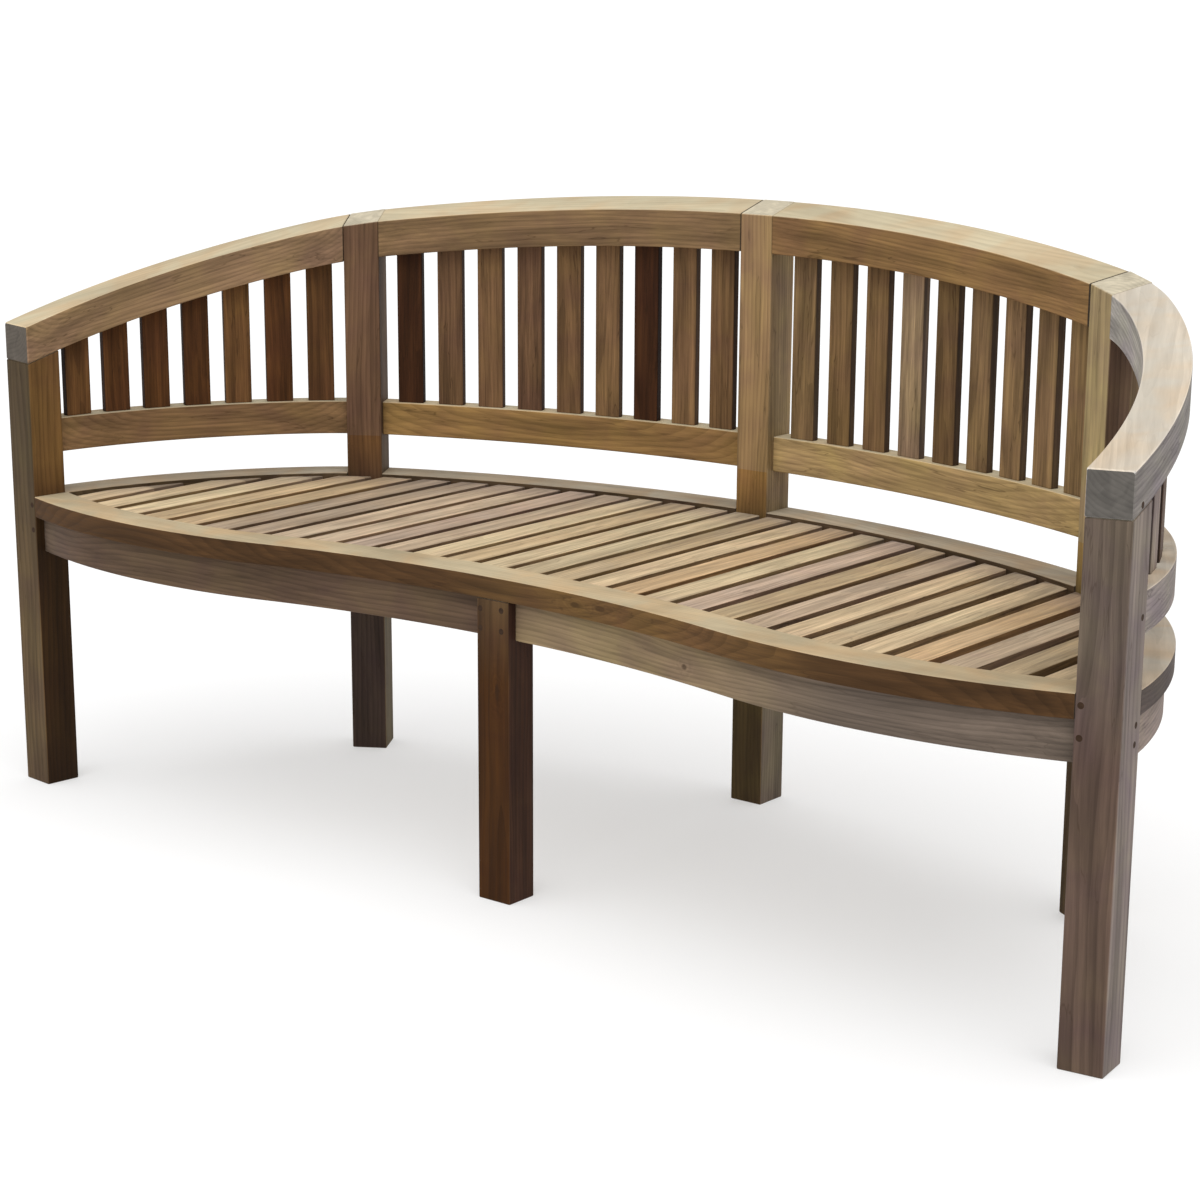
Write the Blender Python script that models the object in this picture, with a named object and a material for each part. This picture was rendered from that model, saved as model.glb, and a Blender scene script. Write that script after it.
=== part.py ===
"""Curved garden bench in teak.

The top rail is one flat curve, tipped up from the arms to the middle of the back. Straight posts
stand on that curve, and curved rails, borders and aprons run from post to post with tenoned ends.
Lengths are in metres and turns in radians. The model is built with the front posts' centre line at
y = 0, and the empty that carries it puts the middle of its plan at the origin.
"""

import bmesh
import bpy
from math import acos, atan2, ceil, cos, sin
from mathutils import Vector

# Plan of the back and arms: three tangent arcs, from mid back to the end of the arm
SEAT_REACH = 0.5948           # front posts' centre line to the top rail's centre line at mid back
BACK_RADIUS = 1.4568
CORNER_RADIUS = 0.3075
ARM_RADIUS = 0.6904
BACK_TURN = 0.4312            # heading where the back arc ends
CORNER_TURN = 0.8223          # heading where the corner arc ends
SIDE_POST_SHARE = 0.291       # how far along the corner arc a back side post stands

# Plan of the seat's front edge: a hollow arc in the middle, a bulging one to each front post
FRONT_SETBACK = 0.003         # front edge at mid length, forward of the front posts' centre line
HOLLOW_RADIUS = 1.635
HOLLOW_TURN = 0.2358          # heading where the hollow arc ends

# Heights: the seat's border above the ground, the rest above the border
SEAT_HEIGHT = 0.44
ARM_RISE = 0.2574             # top of the arm rails over the front posts' centre line
BACK_RISE = 0.4307            # top of the rail's centre line at mid back
LOWER_RAIL_RISE = 0.1086      # top of the lower back rails

# Posts and rails
POST_WIDTH = 0.054            # along the rails
LEG_DEPTH = 0.050             # middle front leg, front to back
RAIL_WIDTH = 0.056            # plan width of top rail and seat border, and depth of the posts
RAIL_HEIGHT = 0.0535
LOWER_RAIL_THICKNESS = 0.037
LOWER_RAIL_HEIGHT = 0.050
LOWER_RAIL_SETBACK = 0.014    # behind the inner face of the top rail

# Seat frame
BORDER_THICKNESS = 0.030
FRONT_BORDER_WIDTH = 0.057
APRON_HEIGHT = 0.053
APRON_THICKNESS = 0.028
APRON_SETBACK = 0.010         # side and rear aprons, behind the edge of the border
FRONT_APRON_SETBACK = 0.014
LEDGER_HEIGHT = 0.035
LEDGER_BEARING = 0.020        # what each seat slat's end rests on
LEDGER_END_GAP = 0.004        # front ledger's ends to the front posts
STRETCHER_WIDTH = 0.036
STRETCHER_HEIGHT = 0.028

# Slats
SEAT_SLATS = 29
SEAT_SLAT_THICKNESS = 0.020
SEAT_SLAT_DROP = 0.0034       # slats lie this far below the top of the border
SEAT_MIDDLE_GAP = 0.0136      # between slats at the middle of the seat, and at its two ends
SEAT_END_GAP = 0.0184
SEAT_SIDE_GAP = 0.0228        # outer slat to the side border, at the front posts
SEAT_REAR_GAP = 0.007         # slats' rear ends to the border
BACK_PANEL_SLATS = 9
ARM_PANEL_SLATS = 7
BACK_SLAT_WIDTH = 0.040
BACK_SLAT_THICKNESS = 0.013

# Joints: a tenon's length is a share of its post, the rest shares of its own piece
TENON_LENGTH_SHARE = 0.33
TENON_WIDTH_SHARE = 0.3
TENON_HEIGHT_SHARE = 0.6
FRONT_TENON_SHARE = 0.27      # front border's tenons lie forward, clear of the side borders'
TENON_ROOT = 0.004            # how deep a tenon's own block starts inside its piece
SLAT_TONGUE = 0.008           # slat ends let into the top rail
TONGUE_SHOULDER = 0.003
STUB_TENON = 0.014            # square tenons on top of the front posts and the middle leg
CLEARANCE = 0.0003            # between any two pieces that touch
OVERRUN = 0.002               # how far a cutter starts outside its piece

# Finish and faceting
EASE = 0.0015                 # small flat on the arrises of the rails and slats
RAIL_OUTER_EASE = 0.003       # outer upper arris of the top rail
POST_EASE = 0.002
POST_EASE_STEPS = 2
CHORD_SAG = 0.00018           # most that a facet strays from its arc
SHORTEST_STEP = 0.008
EDGE_ANGLE = 0.35             # facets that meet at less than this read as one round face
BISECTIONS = 48
SLAT_END_STEPS = 5

# Finish of each family of pieces: red, green, blue and roughness
POST_TEAK = (0.165, 0.103, 0.062, 0.62)
RAIL_TEAK = (0.420, 0.315, 0.200, 0.58)
BORDER_TEAK = (0.380, 0.280, 0.165, 0.58)
APRON_TEAK = (0.120, 0.076, 0.042, 0.66)
BACK_SLAT_TEAK = (0.150, 0.088, 0.052, 0.62)
SEAT_SLAT_TEAK = (0.400, 0.290, 0.175, 0.60)
LEDGER_TEAK = (0.130, 0.085, 0.050, 0.70)


def forward(heading):
    return Vector((cos(heading), sin(heading)))


def leftward(heading):
    return Vector((-sin(heading), cos(heading)))


class PlanCurve:
    """Tangent arcs in plan, from the middle of the bench to its right, mirrored to its left.

    A station is the distance along the curve from the middle, negative on the left. An offset is
    measured square to the curve, away from the sitters on the back curve and towards the back on
    the front one.
    """

    def __init__(self, start_y, arcs):
        self.arcs = []
        self.stops = [0.0]
        point, heading, run = Vector((0.0, start_y)), 0.0, 0.0
        for radius, turn in arcs:
            bend = 1 if turn > 0 else -1
            centre = point + leftward(heading) * radius * bend
            self.arcs.append((run, heading, radius, bend, centre))
            steps = ceil(abs(turn) / (8 * CHORD_SAG / radius) ** 0.5)
            self.stops += [run + radius * abs(turn) * k / steps for k in range(1, steps + 1)]
            run += radius * abs(turn)
            heading += turn
            point = centre - leftward(heading) * radius * bend
        self.length = run

    def at(self, station, offset=0.0):
        """Plan point and heading at a station."""
        side = -1 if station < 0 else 1
        run, heading, radius, bend, centre = [a for a in self.arcs if a[0] <= abs(station)][-1]
        heading += bend * (abs(station) - run) / radius
        point = centre + leftward(heading) * (offset - bend * radius)
        return Vector((side * point.x, point.y)), side * heading

    def station(self, offset, plane, near, far):
        """Station between near and far where the offset curve crosses an upright plane."""
        point, normal = plane

        def reach(station):
            return (self.at(station, offset)[0] - point).dot(normal)

        sign = 1 if reach(near) > 0 else -1
        for _ in range(BISECTIONS):
            middle = (near + far) / 2
            if reach(middle) * sign > 0:
                near = middle
            else:
                far = middle
        return (near + far) / 2

    def y_at(self, x, offset):
        """Depth of the offset curve at a distance right or left of the middle."""
        upright = (Vector((abs(x), 0.0)), Vector((1.0, 0.0)))
        return self.at(self.station(offset, upright, 0.0, self.length), offset)[0].y


class Post:
    """An upright piece, square in plan, with its sides along and across the curve it stands on."""

    def __init__(self, name, centre, heading, station, depth):
        self.name = name
        self.centre = centre
        self.heading = heading
        self.station = station
        self.half_along = POST_WIDTH / 2
        self.half_across = depth / 2
        self.sockets = []

    def face_along(self, side, gap=0.0):
        """Plane of the side that a rail meets, moved outwards by a gap."""
        normal = forward(self.heading) * side
        return self.centre + normal * (self.half_along + gap), normal

    def face_across(self, side, gap=0.0):
        normal = leftward(self.heading) * side
        return self.centre + normal * (self.half_across + gap), normal


class Block:
    """A straight block: a rectangle in plan about a point, between two heights."""

    def __init__(self, point, heading, along, across, bottom, top):
        self.point = point
        self.heading = heading
        self.along = along
        self.across = across
        self.bottom = bottom
        self.top = top

    def grown(self, gap, floor_gap=None):
        """The same block with room all round it."""
        floor_gap = gap if floor_gap is None else floor_gap
        return Block(self.point, self.heading,
                     (self.along[0] - gap, self.along[1] + gap),
                     (self.across[0] - gap, self.across[1] + gap),
                     lambda y: height(self.bottom, y) - floor_gap,
                     lambda y: height(self.top, y) + gap)


def height(level, y):
    """A height that is either one value or a function of the distance back."""
    return level(y) if callable(level) else level


# The curves and levels that everything is worked out from

def back_curve():
    """Centre line of the top rail, run on past the front posts for cutting to length."""
    corner_gap = BACK_RADIUS - CORNER_RADIUS
    arm_gap = CORNER_RADIUS - ARM_RADIUS
    arm_centre_y = (SEAT_REACH - BACK_RADIUS + corner_gap * cos(BACK_TURN)
                    + arm_gap * cos(CORNER_TURN))
    post_turn = acos(-arm_centre_y / ARM_RADIUS)
    run_on = 2 * POST_WIDTH / ARM_RADIUS
    curve = PlanCurve(SEAT_REACH, [(BACK_RADIUS, -BACK_TURN),
                                   (CORNER_RADIUS, BACK_TURN - CORNER_TURN),
                                   (ARM_RADIUS, CORNER_TURN - post_turn - run_on)])
    return curve, curve.length - run_on * ARM_RADIUS


BACK, FRONT_POST_STATION = back_curve()
SIDE_POST_STATION = (BACK_RADIUS * BACK_TURN
                     + CORNER_RADIUS * (CORNER_TURN - BACK_TURN) * SIDE_POST_SHARE)
HALF_RAIL = RAIL_WIDTH / 2


def post_on_back_curve(name, station):
    centre, heading = BACK.at(station)
    return Post(name, centre, heading, station, RAIL_WIDTH)


FRONT_LEFT = post_on_back_curve("front_left_post", -FRONT_POST_STATION)
BACK_LEFT = post_on_back_curve("back_left_post", -SIDE_POST_STATION)
BACK_CENTRE = post_on_back_curve("back_centre_post", 0.0)
BACK_RIGHT = post_on_back_curve("back_right_post", SIDE_POST_STATION)
FRONT_RIGHT = post_on_back_curve("front_right_post", FRONT_POST_STATION)
MIDDLE_LEG = Post("front_centre_leg", Vector((0.0, LEG_DEPTH / 2 - FRONT_SETBACK)),
                  0.0, 0.0, LEG_DEPTH)
FOUR_BAYS = [("left_arm", FRONT_LEFT, BACK_LEFT), ("left_back", BACK_LEFT, BACK_CENTRE),
             ("right_back", BACK_CENTRE, BACK_RIGHT), ("right_arm", BACK_RIGHT, FRONT_RIGHT)]


def front_curve():
    """Front edge of the seat: its second arc leaves the first one's end and meets the post's corner."""
    corner = (FRONT_RIGHT.centre + forward(FRONT_RIGHT.heading) * FRONT_RIGHT.half_along
              - leftward(FRONT_RIGHT.heading) * FRONT_RIGHT.half_across)
    joint = Vector((HOLLOW_RADIUS * sin(HOLLOW_TURN),
                    HOLLOW_RADIUS * (cos(HOLLOW_TURN) - 1) - FRONT_SETBACK))
    chord = corner - joint
    bulge_radius = chord.length_squared / (2 * chord.dot(leftward(-HOLLOW_TURN)))
    bulge_turn = (chord.length + 2 * POST_WIDTH) / bulge_radius
    most_forward = joint.y - bulge_radius * (1 - cos(HOLLOW_TURN))
    curve = PlanCurve(-FRONT_SETBACK, [(HOLLOW_RADIUS, -HOLLOW_TURN), (bulge_radius, bulge_turn)])
    return curve, most_forward


FRONT, MOST_FORWARD = front_curve()
PLAN_MIDDLE_Y = (SEAT_REACH + HALF_RAIL + MOST_FORWARD) / 2

LOWER_RAIL_TOP = SEAT_HEIGHT + LOWER_RAIL_RISE
BORDER_UNDER = SEAT_HEIGHT - BORDER_THICKNESS
APRON_UNDER = BORDER_UNDER - APRON_HEIGHT
SLAT_UNDER = SEAT_HEIGHT - SEAT_SLAT_DROP - SEAT_SLAT_THICKNESS
LEDGER_UNDER = SLAT_UNDER - LEDGER_HEIGHT
APRON_OUTER = HALF_RAIL - APRON_SETBACK
APRON_INNER = APRON_OUTER - APRON_THICKNESS
FRONT_APRON_BACK = FRONT_APRON_SETBACK + APRON_THICKNESS
LEDGER_INNER = -HALF_RAIL - SEAT_REAR_GAP - LEDGER_BEARING
FRONT_LEDGER_BACK = FRONT_BORDER_WIDTH + LEDGER_BEARING


def rail_top(y):
    """Height of the inclined plane that the top rail's upper face lies in."""
    return SEAT_HEIGHT + ARM_RISE + (BACK_RISE - ARM_RISE) * y / SEAT_REACH


def rail_under(y):
    return rail_top(y) - RAIL_HEIGHT


def ground(y):
    return 0.0


# Meshes and objects

def finish(name, colour):
    material = bpy.data.materials.new(name + "_teak")
    material.use_nodes = True
    shader = material.node_tree.nodes["Principled BSDF"]
    shader.inputs["Base Color"].default_value = (*colour[:3], 1.0)
    shader.inputs["Roughness"].default_value = colour[3]
    shader.inputs["Metallic"].default_value = 0.0
    material.diffuse_color = (*colour[:3], 1.0)
    return material


def add_object(name, mesh_builder, carrier, colour=None):
    """Object from a bmesh, carried by the bench; without a colour it is a hidden helper."""
    bmesh.ops.recalc_face_normals(mesh_builder, faces=mesh_builder.faces)
    mesh = bpy.data.meshes.new(name)
    mesh_builder.to_mesh(mesh)
    mesh_builder.free()
    piece = bpy.data.objects.new(name, mesh)
    bpy.context.scene.collection.objects.link(piece)
    piece.parent = carrier
    if colour is None:
        piece.hide_render = True
        piece.display_type = 'WIRE'
    else:
        mesh.materials.append(finish(name, colour))
    return piece


def add_block(builder, block):
    """Adds one straight block; its top and bottom follow their height functions."""
    corners = [(0, 0), (1, 0), (1, 1), (0, 1)]
    rings = []
    for level in (block.bottom, block.top):
        ring = []
        for i, j in corners:
            place = (block.point + forward(block.heading) * block.along[i]
                     + leftward(block.heading) * block.across[j])
            ring.append(builder.verts.new((place.x, place.y, height(level, place.y))))
        rings.append(ring)
    low, high = rings
    for k in range(4):
        builder.faces.new((low[k], low[k - 3], high[k - 3], high[k]))
    builder.faces.new(low[::-1])
    return builder.faces.new(high)


def helper_blocks(name, blocks, carrier):
    """Hidden helper made of separate straight blocks."""
    builder = bmesh.new()
    for block in blocks:
        add_block(builder, block)
    return add_object(name, builder, carrier)


def combine(piece, helper, operation):
    modifier = piece.modifiers.new(helper.name, 'BOOLEAN')
    modifier.operation = operation
    modifier.solver = 'EXACT'
    modifier.object = helper


def ease(piece, width, steps):
    modifier = piece.modifiers.new("eased arrises", 'BEVEL')
    modifier.width = width
    modifier.segments = steps
    modifier.limit_method = 'ANGLE'


def eased_section(inner, outer, bottom, top, outer_top_ease=EASE):
    """Rectangle of offsets and heights with a small flat on each corner."""
    return [(inner, bottom + EASE), (inner + EASE, bottom),
            (outer - EASE, bottom), (outer, bottom + EASE),
            (outer, top - outer_top_ease), (outer - outer_top_ease, top),
            (inner + EASE, top), (inner, top - EASE)]


def curved_bar(name, curve, section, planes, middle, carrier, colour, lift=ground):
    """Sweeps a section along a curve; each end lies flat in its own upright plane."""
    starts = [curve.station(offset, planes[0], middle, -curve.length) for offset, _ in section]
    ends = [curve.station(offset, planes[1], middle, curve.length) for offset, _ in section]
    stops = sorted({side * stop for stop in curve.stops for side in (-1, 1)})
    inner_stops = [[stop] * len(section) for stop in stops
                   if max(starts) + SHORTEST_STEP < stop < min(ends) - SHORTEST_STEP]
    builder = bmesh.new()
    rings = []
    for stations in [starts, *inner_stops, ends]:
        ring = []
        for station, (offset, rise) in zip(stations, section):
            place = curve.at(station, offset)[0]
            ring.append(builder.verts.new((place.x, place.y, lift(place.y) + rise)))
        rings.append(ring)
    for ring, following in zip(rings, rings[1:]):
        for k in range(len(section)):
            builder.faces.new((ring[k - 1], ring[k], following[k], following[k - 1]))
    builder.faces.new(rings[0])
    builder.faces.new(rings[-1][::-1])
    piece = add_object(name, builder, carrier, colour)
    piece.data.shade_smooth()
    piece.data.set_sharp_from_angle(angle=EDGE_ANGLE)
    return piece


# Joints

def end_tenon(point, face_normal, wide, tall, centre):
    """Tenon block that starts just inside a piece's shoulder and runs into the post."""
    heading = atan2(face_normal.y, face_normal.x)
    length = TENON_LENGTH_SHARE * POST_WIDTH
    half_wide = TENON_WIDTH_SHARE * wide / 2
    half_tall = TENON_HEIGHT_SHARE * tall / 2
    return Block(point, heading, (-length, TENON_ROOT), (-half_wide, half_wide),
                 centre - half_tall, centre + half_tall)


def tenoned_bar(name, curve, span, levels, posts, middle, carrier, colour,
                outer_top_ease=EASE, lift=ground):
    """Curved bar between two faces, with a tenon at each end let into the post there.

    Each entry of posts is a post, its face's plane at the shoulder, and the tenon's offset.
    """
    section = eased_section(*span, *levels, outer_top_ease)
    planes = [plane for _, plane, _ in posts]
    piece = curved_bar(name, curve, section, planes, middle, carrier, colour, lift)
    tenons = []
    for side, (post, plane, offset) in zip((-1, 1), posts):
        if post is None:
            continue
        station = curve.station(offset, plane, middle, side * curve.length)
        point = curve.at(station, offset)[0]
        tenon = end_tenon(point, plane[1], span[1] - span[0], levels[1] - levels[0],
                          lift(point.y) + sum(levels) / 2)
        tenons.append(tenon)
        post.sockets.append(tenon.grown(CLEARANCE))
    combine(piece, helper_blocks(name + "_tenons", tenons, carrier), 'UNION')
    return piece


# Pieces

def make_top_rail(bay, left, right, carrier):
    """One length of the inclined top rail; an arm runs on over its front post."""
    planes = [left.face_along(1, CLEARANCE), right.face_along(-1, CLEARANCE)]
    posts = [left, right]
    if left is FRONT_LEFT:
        planes[0], posts[0] = left.face_along(-1), None
    if right is FRONT_RIGHT:
        planes[1], posts[1] = right.face_along(1), None
    name = bay + "_rail" if bay.endswith("arm") else bay.replace("back", "top_rail")
    return tenoned_bar(name, BACK, (-HALF_RAIL, HALF_RAIL), (-RAIL_HEIGHT, 0.0),
                       [(post, plane, 0.0) for post, plane in zip(posts, planes)],
                       (left.station + right.station) / 2, carrier, RAIL_TEAK,
                       outer_top_ease=RAIL_OUTER_EASE, lift=rail_top)


def make_back_panel(bay, left, right, top_rail, carrier):
    """Lower back rail with its upright slats, whose tongues enter the top rail."""
    inner = -HALF_RAIL + LOWER_RAIL_SETBACK
    outer = inner + LOWER_RAIL_THICKNESS
    centre = (inner + outer) / 2
    levels = (LOWER_RAIL_TOP - LOWER_RAIL_HEIGHT, LOWER_RAIL_TOP)
    posts = [(left, left.face_along(1, CLEARANCE), centre),
             (right, right.face_along(-1, CLEARANCE), centre)]
    panel = tenoned_bar(bay + "_panel", BACK, (inner, outer), levels, posts,
                        (left.station + right.station) / 2, carrier, BACK_SLAT_TEAK)
    count = ARM_PANEL_SLATS if bay.endswith("arm") else BACK_PANEL_SLATS
    first = left.station + POST_WIDTH / 2
    clear = right.station - left.station - POST_WIDTH
    gap = (clear - count * BACK_SLAT_WIDTH) / (count + 1)
    half_wide, half_thick = BACK_SLAT_WIDTH / 2, BACK_SLAT_THICKNESS / 2
    slats = bmesh.new()
    sockets = []
    for k in range(count):
        station = first + gap + half_wide + k * (BACK_SLAT_WIDTH + gap)
        point, heading = BACK.at(station)
        slat = Block(point, heading, (-half_wide, half_wide), (-half_thick, half_thick),
                     LOWER_RAIL_TOP - TENON_ROOT, lambda y: rail_under(y) - CLEARANCE)
        shoulder = add_block(slats, slat)
        shoulder.normal_update()
        bmesh.ops.inset_individual(slats, faces=[shoulder], thickness=TONGUE_SHOULDER,
                                   use_even_offset=True)
        tongue_end = bmesh.ops.extrude_discrete_faces(slats, faces=[shoulder])["faces"][0]
        bmesh.ops.translate(slats, vec=(0.0, 0.0, SLAT_TONGUE), verts=tongue_end.verts)
        tongue = Block(point, heading,
                       (-half_wide + TONGUE_SHOULDER, half_wide - TONGUE_SHOULDER),
                       (-half_thick + TONGUE_SHOULDER, half_thick - TONGUE_SHOULDER),
                       lambda y: rail_under(y) - OVERRUN, lambda y: rail_under(y) + SLAT_TONGUE)
        sockets.append(tongue.grown(CLEARANCE, floor_gap=0.0))
    combine(panel, add_object(bay + "_slats", slats, carrier), 'UNION')
    combine(top_rail, helper_blocks(bay + "_slat_mortises", sockets, carrier), 'DIFFERENCE')


def make_seat_side(bay, left, right, front_room, carrier):
    """Side or rear border of the seat, and the apron under it."""
    middle = (left.station + right.station) / 2
    faces = [(left, left.face_along(1, CLEARANCE)), (right, right.face_along(-1, CLEARANCE))]
    border = tenoned_bar(bay + "_seat_border", BACK, (-HALF_RAIL, HALF_RAIL),
                         (BORDER_UNDER, SEAT_HEIGHT), [(post, plane, 0.0) for post, plane in faces],
                         middle, carrier, BORDER_TEAK)
    if left is FRONT_LEFT or right is FRONT_RIGHT:
        combine(border, front_room, 'DIFFERENCE')
    centre = (APRON_INNER + APRON_OUTER) / 2
    tenoned_bar(bay + "_apron", BACK, (APRON_INNER, APRON_OUTER),
                (APRON_UNDER, BORDER_UNDER - CLEARANCE),
                [(post, plane, centre) for post, plane in faces], middle, carrier, APRON_TEAK)


def make_front_room(carrier):
    """Hidden helper: the front border's own space, which the side borders are trimmed to."""
    low, high = BORDER_UNDER - OVERRUN, SEAT_HEIGHT + OVERRUN
    back = FRONT_BORDER_WIDTH + CLEARANCE
    section = [(0.0, low), (back, low), (back, high), (0.0, high)]
    planes = [FRONT_LEFT.face_across(-1), FRONT_RIGHT.face_across(-1)]
    return curved_bar("front_border_room", FRONT, section, planes, 0.0, carrier, None)


def make_seat_front(carrier):
    """Front border in one length, and the two aprons under it that meet the middle leg."""
    left, right = FRONT_LEFT.face_across(-1, CLEARANCE), FRONT_RIGHT.face_across(-1, CLEARANCE)
    border = tenoned_bar("front_seat_border", FRONT, (0.0, FRONT_BORDER_WIDTH),
                         (BORDER_UNDER, SEAT_HEIGHT),
                         [(FRONT_LEFT, left, FRONT_BORDER_WIDTH * FRONT_TENON_SHARE),
                          (FRONT_RIGHT, right, FRONT_BORDER_WIDTH * FRONT_TENON_SHARE)],
                         0.0, carrier, BORDER_TEAK)
    span = (FRONT_APRON_SETBACK, FRONT_APRON_BACK)
    levels = (APRON_UNDER, BORDER_UNDER - CLEARANCE)
    centre = sum(span) / 2
    leg_left, leg_right = MIDDLE_LEG.face_along(-1, CLEARANCE), MIDDLE_LEG.face_along(1, CLEARANCE)
    quarter = FRONT_RIGHT.centre.x / 2
    tenoned_bar("left_front_apron", FRONT, span, levels,
                [(FRONT_LEFT, left, centre), (MIDDLE_LEG, leg_left, centre)],
                -quarter, carrier, APRON_TEAK)
    tenoned_bar("right_front_apron", FRONT, span, levels,
                [(MIDDLE_LEG, leg_right, centre), (FRONT_RIGHT, right, centre)],
                quarter, carrier, APRON_TEAK)
    return border


def rebated_section(apron_face, border_face, bearing_edge):
    """Ledger section: it fits under the border, up its edge, and out under the slats."""
    under, top = LEDGER_UNDER, SLAT_UNDER - CLEARANCE
    shelf = BORDER_UNDER - CLEARANCE
    return [(apron_face, under), (apron_face, shelf), (border_face, shelf), (border_face, top),
            (bearing_edge, top), (bearing_edge, under)]


def make_ledgers(carrier):
    """Curved ledgers inside the seat frame, notched over the posts and the middle leg."""
    section = rebated_section(FRONT_APRON_BACK + CLEARANCE, FRONT_BORDER_WIDTH + CLEARANCE,
                              FRONT_LEDGER_BACK)
    planes = [post.face_across(-1, LEDGER_END_GAP) for post in (FRONT_LEFT, FRONT_RIGHT)]
    ledger = curved_bar("front_ledger", FRONT, section, planes, 0.0, carrier, LEDGER_TEAK)
    notches(ledger, [MIDDLE_LEG], carrier)
    section = rebated_section(APRON_INNER - CLEARANCE, -HALF_RAIL - CLEARANCE, LEDGER_INNER)
    for bay, left, right in FOUR_BAYS:
        planes = [(left.centre, forward(left.heading)), (right.centre, forward(right.heading))]
        planes = [(point + normal * CLEARANCE / 2 * side, normal)
                  for side, (point, normal) in zip((1, -1), planes)]
        if left is FRONT_LEFT:
            planes[0] = behind_front_ledger(left, 1)
        if right is FRONT_RIGHT:
            planes[1] = behind_front_ledger(right, -1)
        ledger = curved_bar(bay + "_ledger", BACK, section, planes,
                            (left.station + right.station) / 2, carrier, LEDGER_TEAK)
        notches(ledger, [left, right], carrier)


def behind_front_ledger(post, side):
    """Plane square to the side of the seat, just behind the front ledger's end."""
    plane = post.face_across(-1, LEDGER_END_GAP)
    far = FRONT.length if post is FRONT_RIGHT else -FRONT.length
    corner = FRONT.at(FRONT.station(FRONT_LEDGER_BACK, plane, 0.0, far), FRONT_LEDGER_BACK)[0]
    normal = forward(post.heading) * side
    return corner + normal * CLEARANCE, normal


def notches(ledger, posts, carrier):
    blocks = [Block(post.centre, post.heading, (-post.half_along, post.half_along),
                    (-post.half_across, post.half_across), LEDGER_UNDER, SLAT_UNDER)
              .grown(CLEARANCE) for post in posts]
    combine(ledger, helper_blocks(ledger.name + "_notches", blocks, carrier), 'DIFFERENCE')


def make_stretcher(carrier):
    """Straight tie under the ledgers, from the middle front leg to the centre back post."""
    start = MIDDLE_LEG.centre.y + MIDDLE_LEG.half_across + CLEARANCE
    end = BACK_CENTRE.centre.y - BACK_CENTRE.half_across - CLEARANCE
    middle = Vector((0.0, (start + end) / 2))
    half_long, half_wide = (end - start) / 2, STRETCHER_WIDTH / 2
    top = LEDGER_UNDER - CLEARANCE
    body = Block(middle, 0.0, (-half_wide, half_wide), (-half_long, half_long),
                 top - STRETCHER_HEIGHT, top)
    builder = bmesh.new()
    add_block(builder, body)
    piece = add_object("centre_stretcher", builder, carrier, LEDGER_TEAK)
    length = TENON_LENGTH_SHARE * POST_WIDTH
    half_tenon = TENON_WIDTH_SHARE * STRETCHER_WIDTH / 2
    half_tall = TENON_HEIGHT_SHARE * STRETCHER_HEIGHT / 2
    centre = top - STRETCHER_HEIGHT / 2
    tenons = []
    for post, y, side in ((MIDDLE_LEG, start, -1), (BACK_CENTRE, end, 1)):
        across = sorted((side * length, -side * TENON_ROOT))
        tenon = Block(Vector((0.0, y)), 0.0, (-half_tenon, half_tenon), across,
                      centre - half_tall, centre + half_tall)
        tenons.append(tenon)
        post.sockets.append(tenon.grown(CLEARANCE))
    combine(piece, helper_blocks("stretcher_tenons", tenons, carrier), 'UNION')


def make_seat_slats(carrier):
    """Slats from the front border's inner edge to a curve that keeps clear of the rear one."""
    side_edge = BACK.at(FRONT_POST_STATION, -HALF_RAIL)[0].x - SEAT_SIDE_GAP
    last = (SEAT_SLATS - 1) / 2
    spread = (SEAT_END_GAP - SEAT_MIDDLE_GAP) / (1 - ((last - 1) / last) ** 3)
    width = (side_edge - last * SEAT_MIDDLE_GAP - spread) / (last + 1 / 2)
    for k in range(SEAT_SLATS):
        centre = (k - last) * (width + SEAT_MIDDLE_GAP) + spread * ((k - last) / last) ** 3
        xs = [centre + width * (step / SLAT_END_STEPS - 1 / 2)
              for step in range(SLAT_END_STEPS + 1)]
        outline = [(x, FRONT.y_at(x, FRONT_BORDER_WIDTH + CLEARANCE)) for x in xs]
        outline += [(x, BACK.y_at(x, -HALF_RAIL - SEAT_REAR_GAP)) for x in reversed(xs)]
        builder = bmesh.new()
        low = [builder.verts.new((x, y, SLAT_UNDER)) for x, y in outline]
        face = builder.faces.new(low)
        raised = bmesh.ops.extrude_face_region(builder, geom=[face])["geom"]
        bmesh.ops.translate(builder, vec=(0.0, 0.0, SEAT_SLAT_THICKNESS),
                            verts=[v for v in raised if isinstance(v, bmesh.types.BMVert)])
        slat = add_object(f"seat_slat_{k + 1:02d}", builder, carrier, SEAT_SLAT_TEAK)
        ease(slat, EASE, 1)


def make_posts(arm_rails, front_border, carrier):
    """Posts and the middle leg, with their mortises, and stub tenons where they stop short."""
    for post in (BACK_LEFT, BACK_CENTRE, BACK_RIGHT):
        make_post(post, rail_top, [], carrier)
    for post, rail in zip((FRONT_LEFT, FRONT_RIGHT), arm_rails):
        stub = stub_tenon(post, rail_under)
        make_post(post, lambda y: rail_under(y) - CLEARANCE, [stub], carrier)
        socket = helper_blocks(post.name + "_stub_mortise", [stub.grown(CLEARANCE)], carrier)
        combine(rail, socket, 'DIFFERENCE')
    stub = stub_tenon(MIDDLE_LEG, BORDER_UNDER)
    make_post(MIDDLE_LEG, BORDER_UNDER - CLEARANCE, [stub], carrier)
    socket = helper_blocks("leg_stub_mortise", [stub.grown(CLEARANCE)], carrier)
    combine(front_border, socket, 'DIFFERENCE')


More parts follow.
